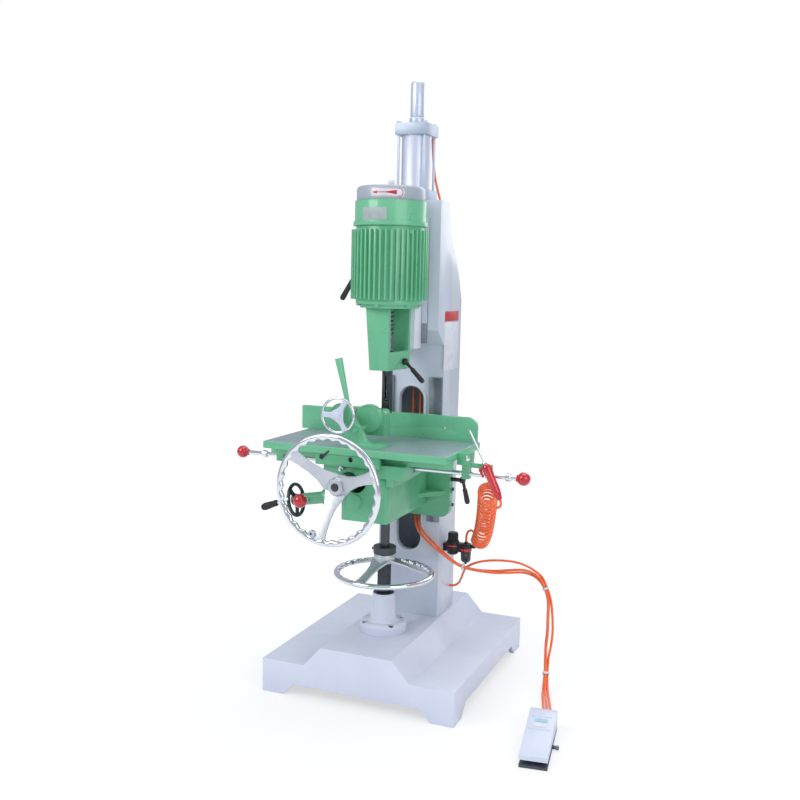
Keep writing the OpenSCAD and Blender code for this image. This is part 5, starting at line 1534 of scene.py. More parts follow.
    def arrow(self, bench: Bench, z: float) -> None:
        """Makes the white plate with its plain red arrow.

        Args:
            bench: The tools.
            z: The plate's middle.
        """
        plate = self.curved(bench, "arrow_plate", self.plate_r, -103, 58, z - 0.0135, z + 0.0135, self.plate_thick,
                            0.012)
        bench.dress(plate, LABEL, Body.HEAD, "white_paint", "motor_plates")
        strokes = [self.mark(bench, "arrow_shaft", -92, 34, z, 0.0011)]
        for k in range(5):
            strokes.append(self.mark(bench, f"arrow_tip_{k}", -99 + 1.6 * k, 1.7, z, 0.0007 + 0.0009 * k))
        for k in range(11):
            strokes.append(self.mark(bench, f"arrow_tail_{k}", -75 + 1.5 * k, 1.6, z, 0.0018 + 0.00042 * k))
        for name, edge in (("arrow_rim", z - 0.0122), ("arrow_rim_top", z + 0.0112)):
            strokes.append(self.curved(bench, name, self.mark_r, -98, 45, edge, edge + 0.0010, self.mark_thick))
        for k in range(9):
            turn = math.radians(-90 + 22.5 * k)
            strokes.append(self.mark(bench, f"arrow_end_{k}", -54.2 + 5.6 * math.cos(turn), 1.0,
                                     z + 0.0117 * math.sin(turn), 0.0024))
        bench.dress(bench.join("red_arrow", strokes), MARK, Body.HEAD, "red_plastic")

    def rim(self, bench: Bench) -> None:
        """Makes the bare plate on the motor's head and the bolts round its rim.

        Args:
            bench: The tools.
        """
        low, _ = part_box("motor_head")
        plate = self.curved(bench, "bare_motor_plate", 0.1095, -117, 44, low[2] + 0.006, low[2] + 0.052, 0.0012)
        bench.dress(plate, NAME_PLATE, Body.HEAD, "cylinder_alloy")
        lugs = []
        for k in range(self.lug_count):
            turn = math.radians(-34 - 360 / self.lug_count * k)
            at = self.centre(low[2] - 0.014) + around(turn) * self.lug_out
            lugs.append(bench.nut(f"motor_lug_{k}", at, DOWN, 0.0085, 0.010, 1.1))
        bench.dress(bench.join("motor_rim_bolts", lugs), GREEN, Body.HEAD, "green_paint")

    def tooling(self, bench: Bench) -> None:
        """Makes the chisel, the fluted auger and the spindle with its chuck and spring.

        Args:
            bench: The tools.
        """
        bench.cast("hollow_chisel", 0.0005, 2, DARK_STEEL, Body.HEAD, "dark_steel")
        bench.dress(self.auger(bench), STEEL, Body.SPINDLE, "dark_steel", "auger_bit")
        low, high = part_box("spindle")
        foot, top = low[2], high[2]
        outline = [(0.0091, foot), (0.0205, foot), (0.0210, foot + 0.002)]
        for k in range(self.groove_count):
            z = foot + 0.006 + self.groove_pitch * k
            outline += [(0.0210, z), (0.0188, z + 0.0012), (0.0188, z + 0.0040), (0.0210, z + 0.0052)]
        outline += [(0.0210, foot + 0.0455), (0.014, foot + 0.046), (0.014, top), (0.0, top), (0.0, foot + 0.026),
                    (0.0091, foot + 0.026)]
        shaft = bench.spin("spindle_shaft_piece", outline, self.centre(), UP, 64, True)
        coil = []
        for k in range(self.spring_points + 1):
            a = math.tau * k / self.spring_steps
            out = around(a) * self.spring_r
            coil.append(self.centre(self.spring_low + self.spring_h * k / self.spring_points) + out)
        spring = bench.tube("chip_spring", coil, self.spring_wire_r)
        bench.dress(spring, DARK_STEEL, Body.SPINDLE, "dark_steel")
        bench.dress(shaft, STEEL, Body.SPINDLE, "machined_steel", "spindle")

    def auger(self, bench: Bench) -> Piece:
        """Makes the auger bit: a core, a spiral flute and a plain shank.

        Args:
            bench: The tools.

        Returns:
            The bit.
        """
        low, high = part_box("auger_bit")
        foot, top = low[2], high[2]
        core = bench.rod("auger_core", self.centre(foot + 0.001), self.centre(top), 0.0042)
        outer, inner = [], []
        count = self.flute_turns * self.flute_steps
        for k in range(count + 1):
            a = math.tau * k / self.flute_steps
            z = foot + 0.002 + (top - foot - 0.05) * k / count
            out = around(a)
            outer.append(self.centre(z) + out * self.flute_out)
            inner.append(self.centre(z) + out * self.flute_in)
        flute = bench.smooth(bench.ribbon("auger_flute", outer, inner, self.flute_thick), 40.0)
        shank = bench.rod("auger_shank", self.centre(top - 0.045), self.centre(top), self.flute_out)
        return bench.join("auger", [core, flute, shank])

    def levers(self, bench: Bench) -> None:
        """Makes the chisel's lock lever and the depth stop's lever.

        Args:
            bench: The tools.
        """
        hub = millimetres(*self.lock_at)
        lock = Lever("chisel_lock_handle", hub, RIGHT, 0.0105, 0.0136, hub + Vector((0.058, -0.005, -0.056)),
                     0.0050, 0.0084)
        bench.dress(lock.build(bench), BLACK_PAINT, Body.CHISEL_LOCK, "black_paint", "chisel_lock_lever")
        elbow = millimetres(*self.stop_at)
        _, y, z = self.stop_at
        shaft = bench.rod("stop_shaft", millimetres(self.stop_from_x, y, z), elbow, 0.0068)
        outline = [(0.0, 0.0), (0.009, 0.0), (0.009, 0.020), (0.0075, 0.0255), (0.0, 0.0255)]
        collar = bench.spin("stop_collar", outline, millimetres(self.stop_collar_x, y, z), LEFT, 36, False, 0.0006)
        arm = Lever("stop_arm", elbow, RIGHT, 0.0082, 0.016, elbow + Vector((-0.055, -0.004, -0.095)),
                    0.0050, 0.0095, 0.36).build(bench)
        lever = bench.join("depth_stop_handle", [shaft, collar, arm])
        bench.dress(lever, BLACK_PAINT, Body.DEPTH_STOP, "black_paint", "depth_stop_lever")


@dataclass
class Knee:
    """The knee on the column's ways, the lift screw and the side wheel."""

    tilt: float = math.radians(10.5)
    crank_lean: float = math.radians(11.5)
    clamp_at: Point = (195, 397, 656)
    stud_from_x: float = 150.0
    stud_to_x: float = 190.0
    gib_heights: tuple[float, ...] = (571, 623)
    screw_at: Point = (-11, 240, 0)
    thread_r: float = 0.0220
    thread_root_r: float = 0.0196
    thread_pitch: float = 0.006
    thread_top: float = 0.390
    wheel_z: float = 0.360
    side_y: float = 100.0
    side_z: float = 602.0
    side_x: float = -260.0
    side_shaft_x: float = -82.0
    side_shaft_r: float = 0.0088
    stem_r: float = 0.0058
    crank_down: float = 0.049
    crank_up: float = 0.012
    lock_x: float = -207.0
    lock_root_y: float = 87.0
    lock_neck_y: float = 47.0
    lock_ball_y: float = 25.0
    lock_ball_up: float = 7.0
    lock_elbow_r: float = 0.0070
    lock_ball_r: float = 0.022

    def sleeve(self, x: float) -> Vector:
        """Returns a place on the side shaft's line."""
        return millimetres(x, self.side_y, self.side_z + (x - self.side_x) * math.tan(self.tilt))

    def build(self, bench: Bench) -> None:
        """Makes the knee's pieces.

        Args:
            bench: The tools.
        """
        # The knee wears the darker green copy: its darker colour is painted shade.
        bench.cast("knee_casting", 0.004, 3, GREEN_SHADED, Body.KNEE, "green_paint")
        bench.cast("knee_keeper", 0.001, 2, STEEL, Body.KNEE, "machined_steel")
        self.clamp(bench)
        self.screw(bench)
        self.lift_wheel(bench)
        self.side_wheel(bench)
        self.slide_lock(bench)

    def clamp(self, bench: Bench) -> None:
        """Makes the gib screws on the slide plate's edge and the knee's clamp lever.

        Args:
            bench: The tools.
        """
        _, y, z = self.clamp_at
        heads = [bench.nut(f"gib_{k}", millimetres(159.5, y, height), RIGHT, 0.0062, 0.005, 1.05)
                 for k, height in enumerate(self.gib_heights)]
        bench.dress(bench.join("gib_screws", heads), DARK_STEEL, Body.KNEE, "dark_steel")
        hub = millimetres(*self.clamp_at)
        lever = Lever("knee_clamp_handle", hub, RIGHT, 0.011, 0.0156, hub + Vector((0.017, 0, -0.069)),
                      0.0052, 0.0088).build(bench)
        stud = bench.rod("knee_clamp_stud", millimetres(self.stud_from_x, y, z), millimetres(self.stud_to_x, y, z),
                         0.0069)
        bench.dress(bench.join("knee_clamp_handle", [lever, stud]), BLACK_PAINT, Body.KNEE_CLAMP, "black_paint",
                    "knee_clamp_lever")

    def screw(self, bench: Bench) -> None:
        """Makes the lift screw with its thread and collar.

        Args:
            bench: The tools.
        """
        low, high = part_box("lift_screw")
        axis = millimetres(*self.screw_at)
        crest, root, pitch = self.thread_r, self.thread_root_r, self.thread_pitch
        profile = [(0.0, low[2]), (0.019, low[2])]
        z = low[2] + 0.002
        while z < self.thread_top:
            profile += [(crest, z), (crest, z + pitch * 0.42), (root, z + pitch * 0.55), (root, z + pitch * 0.9)]
            z += pitch
        profile += [(root, 0.394), (0.015, 0.395), (0.015, 0.427), (0.0365, 0.427), (0.0365, 0.4285), (0.037, 0.430),
                    (0.037, 0.4485), (0.0355, 0.450), (0.015, 0.450), (0.015, 0.5598), (0.026, 0.560),
                    (0.026, 0.5715), (0.015, 0.5718), (0.015, high[2]), (0.0, high[2])]
        shaft = bench.spin("lift_screw_shaft", profile, axis, UP, 48, False)
        bench.dress(shaft, DARK_STEEL, Body.LIFT_WHEEL, "dark_steel", "lift_screw")

    def lift_wheel(self, bench: Bench) -> None:
        """Makes the chrome lift wheel and the set screw in the screw's collar.

        Args:
            bench: The tools.
        """
        axis = millimetres(*self.screw_at)
        wheel = Handwheel("lift_wheel", axis + UP * self.wheel_z, UP, WHEEL_R, WHEEL_RIM_R,
                          0.051, 0.035, 0.032, 0.036, WHEEL_SPOKE_T, WHEEL_SPOKES, WHEEL_GRIPS)
        bench.dress(wheel.rim(bench), CHROME, Body.LIFT_WHEEL, "chrome", "lift_handwheel")
        bench.dress(wheel.spider(bench), SATIN, Body.LIFT_WHEEL, "chrome")
        set_screw = bench.nut("lift_collar_screw", axis + Vector((-0.0365, -0.006, 0.4385)), Vector((-1, -0.1, 0)),
                              0.0042, 0.005, 1.05)
        bench.dress(set_screw, DARK_STEEL, Body.LIFT_WHEEL, "dark_steel")

    def side_wheel(self, bench: Bench) -> None:
        """Makes the black side wheel with its shaft and crank grip.

        Args:
            bench: The tools.
        """
        way = Vector((-math.cos(self.tilt), 0, -math.sin(self.tilt)))
        centre = self.sleeve(self.side_x)
        wheel = Handwheel("side_wheel_rim", centre, way, 0.055, 0.006, 0.0, 0.017, 0.022, 0.018, 0.006,
                          (14.0, 134.0, 254.0))
        shaft = bench.rod("side_shaft", centre, self.sleeve(self.side_shaft_x), self.side_shaft_r)
        bench.dress(bench.join("side_wheel_rim", [wheel.rim(bench), wheel.spider(bench), shaft]), DARK_STEEL,
                    Body.SIDE_WHEEL, "black_plastic", "side_handwheel")
        lift = Vector((-math.sin(self.tilt), 0, math.cos(self.tilt)))
        root = centre + FRONT * self.crank_down + lift * self.crank_up
        lean = self.tilt + self.crank_lean
        reach = Vector((-math.cos(lean), 0, -math.sin(lean)))
        stem = bench.rod("crank_stem", root - reach * 0.002, root + reach * 0.044, self.stem_r)
        bench.dress(stem, CHROME, Body.SIDE_WHEEL, "chrome")
        profile = [(0.0, 0.0), (0.0088, 0.0), (0.0106, 0.004), (0.0098, 0.012), (0.0117, 0.036), (0.0120, 0.046),
                   (0.0094, 0.0555), (0.0, 0.058)]
        grip = bench.spin("crank_grip", profile, root + reach * 0.042, reach, 40, False)
        bench.dress(grip, GRIP, Body.SIDE_WHEEL, "black_plastic")

    def slide_lock(self, bench: Bench) -> None:
        """Makes the bent lock lever with its red ball.

        Args:
            bench: The tools.
        """
        height = UP * self.sleeve(self.lock_x).z
        neck = millimetres(self.lock_x, self.lock_neck_y, 0) + height
        ball = millimetres(self.lock_x, self.lock_ball_y, self.lock_ball_up) + height
        stud = bench.rod("lock_stud", neck, millimetres(self.lock_x, self.lock_root_y, 0) + height, self.stem_r)
        arm = bench.rod("lock_arm", neck, ball, self.stem_r, 0.0052)
        elbow = bench.ball("lock_elbow", neck, self.lock_elbow_r)
        bench.dress(bench.join("slide_lock_stud", [stud, arm, elbow]), CHROME, Body.SLIDE_LOCK, "chrome")
        knob = bench.ball("slide_lock_ball", ball, self.lock_ball_r)
        bench.dress(knob, RED, Body.SLIDE_LOCK, "red_plastic", "slide_lock_lever")


@dataclass
class Saddle:
    """The saddle with its apron, thumb screw and the table's big handwheel."""

    thumb_at: Point = (-67, 20, 740)
    thumb_r: float = 0.0049
    wheel_y: float = -143.0
    grip_turn: float = math.radians(-110)
    grip_out: float = 0.1385
    apron_y: float = 20.0
    apron_screws: tuple[Flat, ...] = ((-130, 764), (-33, 763))
    pin_at: Point = (-124, 11, 768)
    pin_end: Point = (-103, 9, 786)
    pin_foot: Point = (-130, 14, 764)

    def build(self, bench: Bench) -> None:
        """Makes the saddle's pieces.

        Args:
            bench: The tools.
        """
        # The saddle wears the darker green copy: its darker colour is painted shade.
        bench.cast("saddle", 0.0025, 3, GREEN_SHADED, Body.SADDLE, "green_paint")
        top = millimetres(*self.thumb_at)
        profile = [(0.0, 0.0), (0.005, 0.0), (0.005, 0.0005), (0.0078, 0.001), (0.009, 0.0025), (0.009, 0.0115),
                   (0.0078, 0.0128), (0.0, 0.0132)]
        thumb = bench.spin("thumb_screw_head", profile, top, DOWN, 14, False, 0.0004)
        stem = bench.rod("thumb_stem", top + DOWN * 0.001, top + UP * 0.018, self.thumb_r)
        bench.dress(bench.join("thumb_screw_piece", [thumb, stem]), CHROME, Body.APRON_SCREW, "chrome", "thumb_screw")
        self.wheel(bench)
        self.apron(bench)
        bench.cast("table_pinion", 0.0010, 2, DARK_STEEL, Body.TABLE_WHEEL, "dark_steel")

    def wheel(self, bench: Bench) -> None:
        """Makes the table's handwheel with the boss for its grip, and a black plug in the boss's bore as painted
        shade of its hole.

        Args:
            bench: The tools.
        """
        low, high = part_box("table_handwheel")
        centre = Vector(((low[0] + high[0]) / 2, millimetres(0, self.wheel_y, 0).y, (low[2] + high[2]) / 2))
        wheel = Handwheel("table_wheel", centre, BACK, WHEEL_R, WHEEL_RIM_R, 0.062, 0.030, 0.034, 0.038,
                          WHEEL_SPOKE_T, WHEEL_SPOKES, WHEEL_GRIPS)
        bench.dress(wheel.rim(bench), CHROME, Body.TABLE_WHEEL, "chrome", "table_handwheel")
        bench.dress(wheel.spider(bench), SATIN, Body.TABLE_WHEEL, "chrome")
        foot = centre + Vector((math.cos(self.grip_turn), 0, math.sin(self.grip_turn))) * self.grip_out
        boss = bench.spin("grip_boss", [(0.0036, 0.0), (0.0105, 0.0), (0.0105, 0.0085), (0.0095, 0.0095),
                                        (0.0036, 0.0095)], foot, FRONT, 32, True)
        bench.dress(boss, SATIN, Body.TABLE_WHEEL, "chrome")
        # The black plug in the boss's bore is painted shade: it stands for the dark inside of the hole.
        hole = bench.rod("grip_hole", foot, foot + FRONT * 0.0065, 0.0038)
        bench.dress(hole, BLACK_PAINT, Body.TABLE_WHEEL, "dark_steel")

    def apron(self, bench: Bench) -> None:
        """Makes the apron's two socket screws and the small lock pin.

        Args:
            bench: The tools.
        """
        cap = [(0.0030, 0.0), (0.0062, 0.0), (0.0062, 0.0075), (0.0054, 0.0085), (0.0030, 0.0085)]
        parts = []
        for k, (x, z) in enumerate(self.apron_screws):
            at = millimetres(x, self.apron_y, z)
            parts.append(bench.rod(f"apron_socket_{k}", at, at + FRONT * 0.0035, 0.0068))
            parts.append(bench.spin(f"apron_screw_{k}", cap, at, FRONT, 24, True))
        root = millimetres(*self.pin_at)
        parts.append(bench.rod("lock_pin", root, millimetres(*self.pin_end), 0.0030, 0.0024))
        parts.append(bench.rod("lock_pin_foot", root, millimetres(*self.pin_foot), 0.0034))
        bench.dress(bench.join("apron_screws", parts), BLACK_PAINT, Body.SADDLE, "dark_steel")


@dataclass
class Table:
    """The table with its rack, fence, rod brackets, stop rod and balls."""

    face_in: float = 0.002
    face_deep: float = 0.004
    face_up: float = 0.0002
    bracket_screw: Point = (303, 107.2, 784)
    rod_at: Point = (0, 125, 735)
    rod_r: float = 0.007
    rod_half: float = 0.459
    collars: tuple[float, ...] = (-0.387, 0.424)
    grub_r: float = 0.0028
    ball_r: float = 0.020
    ball_out: float = 0.470
    neck_out: float = 0.4485

    def build(self, bench: Bench) -> None:
        """Makes the table's pieces.

        Args:
            bench: The tools.
        """
        bench.cast("table", 0.0016, 3, GREEN, Body.TABLE, "table_iron")
        self.face(bench)
        bench.cast("table_rack", 0.0006, 2, STEEL, Body.TABLE, "machined_steel")
        bench.cast("fence", 0.0025, 3, GREEN, Body.TABLE, "green_paint")
        # Both rod brackets wear the darker green copy: painted shade, for the bracket that sits in shadow.
        bench.cast("rod_brackets", 0.0022, 3, GREEN_SHADED, Body.TABLE, "green_paint")
        screw = bench.nut("bracket_screw", millimetres(*self.bracket_screw), FRONT, 0.0062, 0.005, 1.3)
        bench.dress(screw, CHROME, Body.TABLE, "chrome")
        self.rod(bench)
        self.balls(bench)

    def face(self, bench: Bench) -> None:
        """Makes the planed face of the table's top.

        Args:
            bench: The tools.
        """
        low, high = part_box("table")
        plate = bench.block("table_planed_face",
                            (low[0] + self.face_in, low[1] + self.face_in, high[2] - self.face_deep),
                            (high[0] - self.face_in, high[1] - self.face_in, high[2] + self.face_up), 0.0001, 1)
        bench.dress(plate, TABLE_IRON, Body.TABLE, "table_iron")

    def rod(self, bench: Bench) -> None:
        """Makes the stop rod with its collars.

        Args:
            bench: The tools.
        """
        axis = millimetres(*self.rod_at)
        pieces = [bench.rod("stop_rod_bar", axis - RIGHT * self.rod_half, axis + RIGHT * self.rod_half, self.rod_r,
                            None, 0.0008, 40)]
        profile = [(self.rod_r, -0.007), (0.0112, -0.007), (0.012, -0.006), (0.012, 0.006), (0.0112, 0.007),
                   (self.rod_r, 0.007)]
        for k, x in enumerate(self.collars):
            at = axis + RIGHT * x
            pieces.append(bench.spin(f"collar_{k}", profile, at, RIGHT, 40, True))
            pieces.append(bench.rod(f"grub_{k}", at + FRONT * 0.0110, at + FRONT * 0.0126, self.grub_r, None, 0.0003,
                                    12))
        bench.dress(bench.join("stop_rod_bar", pieces), CHROME, Body.STOP_BAR, "chrome", "stop_rod")

    def balls(self, bench: Bench) -> None:
        """Makes the red balls at the stop rod's ends.

        Args:
            bench: The tools.
        """
        axis = millimetres(*self.rod_at)
        balls = []
        for k, side in enumerate((-1, 1)):
            balls += [
                bench.ball(f"ball_{k}", axis + RIGHT * side * self.ball_out, self.ball_r),
                bench.spin(f"ball_neck_{k}", [(0.0072, 0.0), (0.0098, 0.0), (0.0105, 0.004), (0.0125, 0.007)],
                           axis + RIGHT * side * self.neck_out, RIGHT * side, 36, False),
            ]
        bench.dress(bench.join("stop_rod_balls", balls), RED, Body.STOP_BAR, "red_plastic", "ball_knobs")


@dataclass
class Vise:
    """The clamp: bracket, jaw with its drum, screw, small handwheel and lever."""

    x: float = -75.0
    z: float = 896.0
    foot_screw: Point = (-17, 84, 810.1)
    drum_at: Point = (-22, 107.6, 878)
    wheel_y: float = 10.0
    screw_from_y: float = 12.0
    screw_to_y: float = 139.0
    screw_r: float = 0.0088

    def build(self, bench: Bench) -> None:
        """Makes the clamp's pieces.

        Args:
            bench: The tools.
        """
        bench.cast("vise_bracket", 0.003, 3, GREEN, Body.TABLE, "green_paint")
        foot = bench.nut("clamp_foot_screw", millimetres(*self.foot_screw), UP, 0.0088, 0.0088, 1.35)
        bench.dress(foot, CHROME, Body.TABLE, "chrome")
        bench.cast("vise_jaw", 0.0035, 3, GREEN, Body.JAW, "green_paint")
        drum = bench.spin("jaw_drum_face", [(0.0, 0.0), (0.012, 0.0), (0.013, 0.0012), (0.034, 0.0012),
                                            (0.036, 0.0), (0.041, 0.0), (0.0425, 0.002), (0.0, 0.004)],
                          millimetres(*self.drum_at), BACK, 64, False)
        bench.dress(drum, GREEN, Body.JAW, "green_paint")
        wheel = Handwheel("clamp_wheel", millimetres(self.x, self.wheel_y, self.z), BACK, 0.056, 0.0045, 0.0,
                          0.0145, 0.016, 0.019, 0.005, (180.0, 60.0, 300.0))
        screw = bench.rod("clamp_screw_shaft", millimetres(self.x, self.screw_from_y, self.z),
                          millimetres(self.x, self.screw_to_y, self.z), self.screw_r)
        rim = bench.join("clamp_wheel", [wheel.rim(bench), screw])
        bench.dress(rim, CHROME, Body.CLAMP_SCREW, "chrome", "vise_handwheel")
        bench.dress(wheel.spider(bench), BARREL, Body.CLAMP_SCREW, "chrome")
        bench.cast("vise_lever", 0.0028, 3, GREEN, Body.CLAMP_LEVER, "green_paint")


@dataclass
class AirGun:
    """The red air gun that hangs at the table's right end."""

    tip: Point = (309, 97, 869)
    pivot: Point = (346, 97, 756)
    trigger_t: float = 0.007
    pin_half: float = 0.0118
    pin_r: float = 0.002

    def build(self, bench: Bench) -> None:
        """Makes the gun's body, nozzle and trigger.

        Args:
            bench: The tools.
        """
        top, bottom, tip = millimetres(*GUN_TOP), millimetres(*GUN_BOTTOM), millimetres(*self.tip)
        way = bottom - top
        long = way.length
        profile = [(0.0, -0.0148), (0.009, -0.0132), (0.0138, -0.006), (0.0150, 0.002), (0.0140, 0.016),
                   (0.0124, 0.030), (0.0128, 0.052), (0.0122, 0.078), (0.0100, long - 0.016), (0.0096, long - 0.010),
                   (0.0082, long - 0.009), (0.0082, long), (0.0, long)]
        body = bench.spin("gun_body", profile, top, way, 40, False)
        bench.modify(body, "SUBSURF", levels=1, render_levels=1)
        hook = bench.block("gun_hook", millimetres(358, 99, 756.5), millimetres(377.8, 112, 769.5), 0.002, 3)
        bench.dress(bench.join("gun_shell", [body, hook]), RED, Body.TABLE, "red_plastic", "air_gun")
        nozzle_way = tip - top
        reach = nozzle_way.length
        nozzle = bench.spin("gun_nozzle", [(0.0, 0.0), (0.0080, 0.002), (0.0080, 0.016), (0.0055, 0.020),
                                           (0.0035, 0.022), (0.0033, reach - 0.008), (0.0026, reach), (0.0, reach)],
                            top, nozzle_way, 28, False)
        bench.dress(nozzle, CHROME, Body.TABLE, "machined_steel")
        self.trigger(bench)

    def trigger(self, bench: Bench) -> None:
        """Makes the trigger's blade on its pin.

        Args:
            bench: The tools.
        """
        pivot = millimetres(*self.pivot)
        outline = [pivot + Vector((x, -self.trigger_t / 2, z)) for x, z in (
            (-0.004, 0.003), (0.003, 0.004), (0.0075, -0.008), (0.0115, -0.0215), (0.0075, -0.0235), (0.0020, -0.012),
            (-0.003, -0.006))]
        blade = bench.slab("gun_trigger_blade", outline, BACK * self.trigger_t, 0.0008)
        pin = bench.rod("gun_pin", pivot + FRONT * self.pin_half, pivot + BACK * self.pin_half, self.pin_r)
        bench.dress(bench.join("gun_trigger_blade", [blade, pin]), RED, Body.TRIGGER, "red_plastic", "gun_trigger")


@dataclass
class Pedal:
    """The foot pedal: base, treadle, bare plates, steps and hose fittings."""

    x: float = 578.0
    y: float = -12.0
    turn: float = math.radians(7.5)
    front_y: float = -131.0
    front_z: float = 35.0
    slope: float = (66 - 35) / 221
    plate_up: float = 0.2
    plate_half: float = 19.0
    steps: tuple[float, ...] = (1, 66)
    step_half: float = 31.0
    step_r: float = 0.0022
    fittings: tuple[float, ...] = (-14, 0, 14)
    fitting_y: float = 131.0
    fitting_z: float = 30.0
    side_at: Point = (40, 0, 7)

    def place(self, x: float, y: float, z: float) -> Vector:
        """Turns a place on the pedal, in millimetres, into the frame."""
        c, s = math.cos(self.turn), math.sin(self.turn)
        return millimetres(self.x + x * c - y * s, self.y + x * s + y * c, z)

    def top(self, y: float) -> float:
        """Returns the height of the treadle's sloping top, in millimetres."""
        return self.front_z + (y - self.front_y) * self.slope

    def build(self, bench: Bench) -> None:
        """Makes the pedal's pieces.

        Args:
            bench: The tools.
        """
        bench.cast("pedal_base", 0.0018, 3, PEDAL_BASE, Body.STAND, "black_paint")
        bench.cast("pedal_treadle", 0.006, 4, PEDAL_PAINT, Body.TREADLE, "pedal_shell")
        for name, finish, y0, y1 in (("bare_pale_plate", LABEL, 12, 32), ("bare_blue_plate", BLUE_LABEL, 37, 53)):
            outline = [self.place(side * self.plate_half, y, self.top(y) + self.plate_up)
                       for side, y in ((-1, y0), (1, y0), (1, y1), (-1, y1))]
            bench.dress(bench.slab(name, outline, UP * 0.0009, 0.0003, 1), finish, Body.TREADLE, "white_paint")
        steps = [bench.rod(f"step_{k}", self.place(-self.step_half, y, self.top(y)),
                           self.place(self.step_half, y, self.top(y)), self.step_r, None, 0.0006, 16)
                 for k, y in enumerate(self.steps)]
        bench.dress(bench.join("treadle_steps", steps), PEDAL_PAINT, Body.TREADLE, "pedal_shell")
        self.sockets(bench)

    def sockets(self, bench: Bench) -> None:
        """Makes the three hose fittings at the back and the one at the side.

        Args:
            bench: The tools.
        """
        back = self.place(0, self.fitting_y + 10, self.fitting_z) - self.place(0, self.fitting_y, self.fitting_z)
        outline = [(0.0042, 0.0), (0.0066, 0.0), (0.0066, 0.006), (0.0056, 0.009), (0.0042, 0.009)]
        fits = [bench.spin(f"fitting_{k}", outline, self.place(x, self.fitting_y, self.fitting_z), back, 6, True,
                           0.0004)
                for k, x in enumerate(self.fittings)]
        x, y, z = self.side_at
        outline = [(0.0, 0.0), (0.0054, 0.0), (0.0054, 0.010), (0.0066, 0.010), (0.0066, 0.016), (0.0040, 0.0165),
                   (0.0040, 0.0175), (0.0, 0.0175)]
        right = self.place(x + 20, y, z) - self.place(x, y, z)
        fits.append(bench.spin("side_fitting", outline, self.place(x, y, z), right, 24, False, 0.0003))
        bench.dress(bench.join("pedal_fittings", fits), STEEL, Body.STAND, "machined_steel")


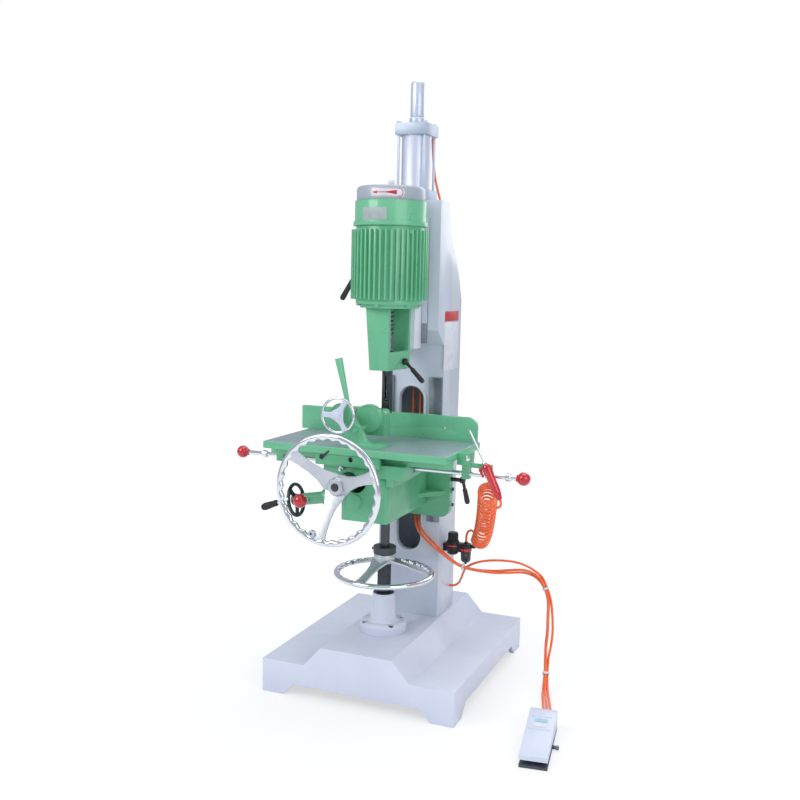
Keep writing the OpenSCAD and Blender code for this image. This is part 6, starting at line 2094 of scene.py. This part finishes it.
@dataclass
class Studio:
    """The floor, the soft lamps, the world and the photograph's camera."""

    floor_half: float = 9.0
    floor_colour: str = "#f4f5f7"
    floor_glow: float = 1.08
    light_colour: Point = (0.86, 0.90, 1.0)
    light_power: float = 0.50
    aim: Point = (0, 0, 0.95)
    lamps: tuple[tuple[str, Point, float, float], ...] = (
        ("key_lamp", (-2.4, -3.2, 3.4), 2.4, 88), ("fill_lamp", (3.2, -2.2, 2.2), 2.6, 46),
        ("top_lamp", (0.2, 0.4, 4.4), 3.0, 60), ("back_lamp", (0.8, 3.2, 2.6), 2.4, 30))

    def camera(self) -> None:
        """Places the camera at the photograph's viewpoint."""
        yaw, pitch, roll = CAMERA_YAW, CAMERA_PITCH, CAMERA_ROLL
        ahead = Vector((-math.sin(yaw) * math.cos(pitch), math.cos(yaw) * math.cos(pitch), -math.sin(pitch)))
        flat = Vector((math.cos(yaw), math.sin(yaw), 0))
        rise = flat.cross(ahead)
        right = flat * math.cos(roll) + rise * math.sin(roll)
        up = rise * math.cos(roll) - flat * math.sin(roll)
        data = bpy.data.cameras.new("photo_camera")
        data.lens = CAMERA_FOCAL_PX / PHOTO_WIDTH_PX * SENSOR_MM
        data.sensor_width = SENSOR_MM
        data.clip_end = 60.0
        camera = bpy.data.objects.new("photo_camera", data)
        bpy.context.collection.objects.link(camera)
        turn = Matrix((right, up, -ahead)).transposed().to_4x4()
        camera.matrix_world = Matrix.Translation(Vector(CAMERA_AT)) @ turn
        bpy.context.scene.camera = camera

    def floor(self) -> None:
        """Lays the pale floor, which keeps the machine's shadow."""
        bpy.ops.mesh.primitive_plane_add(size=2 * self.floor_half, location=(0, 0, 0))
        plane = bpy.context.object
        plane.name = "studio_floor"
        s = Shader("studio_floor")
        ray = s.node("ShaderNodeLightPath", output="Is Camera Ray")
        matt = s.node("ShaderNodeBsdfDiffuse", inputs={"Color": linear(self.floor_colour)})
        glow = s.node("ShaderNodeEmission", inputs={"Color": (1, 1, 1, 1), "Strength": self.floor_glow})
        where = s.node("ShaderNodeTexCoord", output="Object")
        far = s.node("ShaderNodeVectorMath", {"operation": "LENGTH"}, {0: where}, "Value")
        share = ray * s.spread(far, 0.6, 1.9, 0.55, 1.0)
        surface = s.node("ShaderNodeMixShader", inputs={0: share, 1: matt, 2: glow})
        s.node("ShaderNodeOutputMaterial", inputs={"Surface": surface})
        plane.data.materials.append(s.material)

    def world(self) -> None:
        """Sets a white background and an even grey light."""
        world = bpy.data.worlds.new("studio")
        bpy.context.scene.world = world
        world.use_nodes = True
        tree = world.node_tree
        tree.nodes.clear()
        path = tree.nodes.new("ShaderNodeLightPath")
        mix = tree.nodes.new("ShaderNodeMixShader")
        out = tree.nodes.new("ShaderNodeOutputWorld")
        tree.links.new(path.outputs["Is Camera Ray"], mix.inputs[0])
        for index, colour, power in ((1, self.light_colour, self.light_power), (2, (1.0, 1.0, 1.0), 1.0)):
            light = tree.nodes.new("ShaderNodeBackground")
            light.inputs["Color"].default_value = (*colour, 1.0)
            light.inputs["Strength"].default_value = power
            tree.links.new(light.outputs[0], mix.inputs[index])
        tree.links.new(mix.outputs[0], out.inputs[0])

    def lamp(self, name: str, at: Point, size: float, power: float) -> None:
        """Hangs one soft square lamp that looks at the machine.

        Args:
            name: The lamp's name.
            at: Where it hangs.
            size: Its side's length.
            power: Its power in watts.
        """
        data = bpy.data.lights.new(name, "AREA")
        data.shape = "SQUARE"
        data.size = size
        data.energy = power
        lamp = bpy.data.objects.new(name, data)
        bpy.context.collection.objects.link(lamp)
        way = Vector(self.aim) - Vector(at)
        lamp.matrix_world = Matrix.Translation(Vector(at)) @ way.to_track_quat("-Z", "Y").to_matrix().to_4x4()

    def build(self) -> None:
        """Sets the whole studio up."""
        self.camera()
        self.floor()
        self.world()
        for name, at, size, power in self.lamps:
            self.lamp(name, at, size, power)
        bpy.context.scene.view_settings.view_transform = "Standard"


def main() -> None:
    """Builds the studio and the machine."""
    logging.basicConfig(level=logging.INFO, format="%(name)s: %(message)s")
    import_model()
    bench = Bench(Finishes())
    Bench.clear()
    Studio().build()
    Hoses().build(bench)
    for part in (Stand(), AirCylinder(), AirUnit(), Head(), Knee(), Saddle(), Table(), Vise(), AirGun(), Pedal()):
        part.build(bench)
        LOG.info("%s is built", type(part).__name__)
    Bench.clear()


if __name__ == "__main__":
    main()
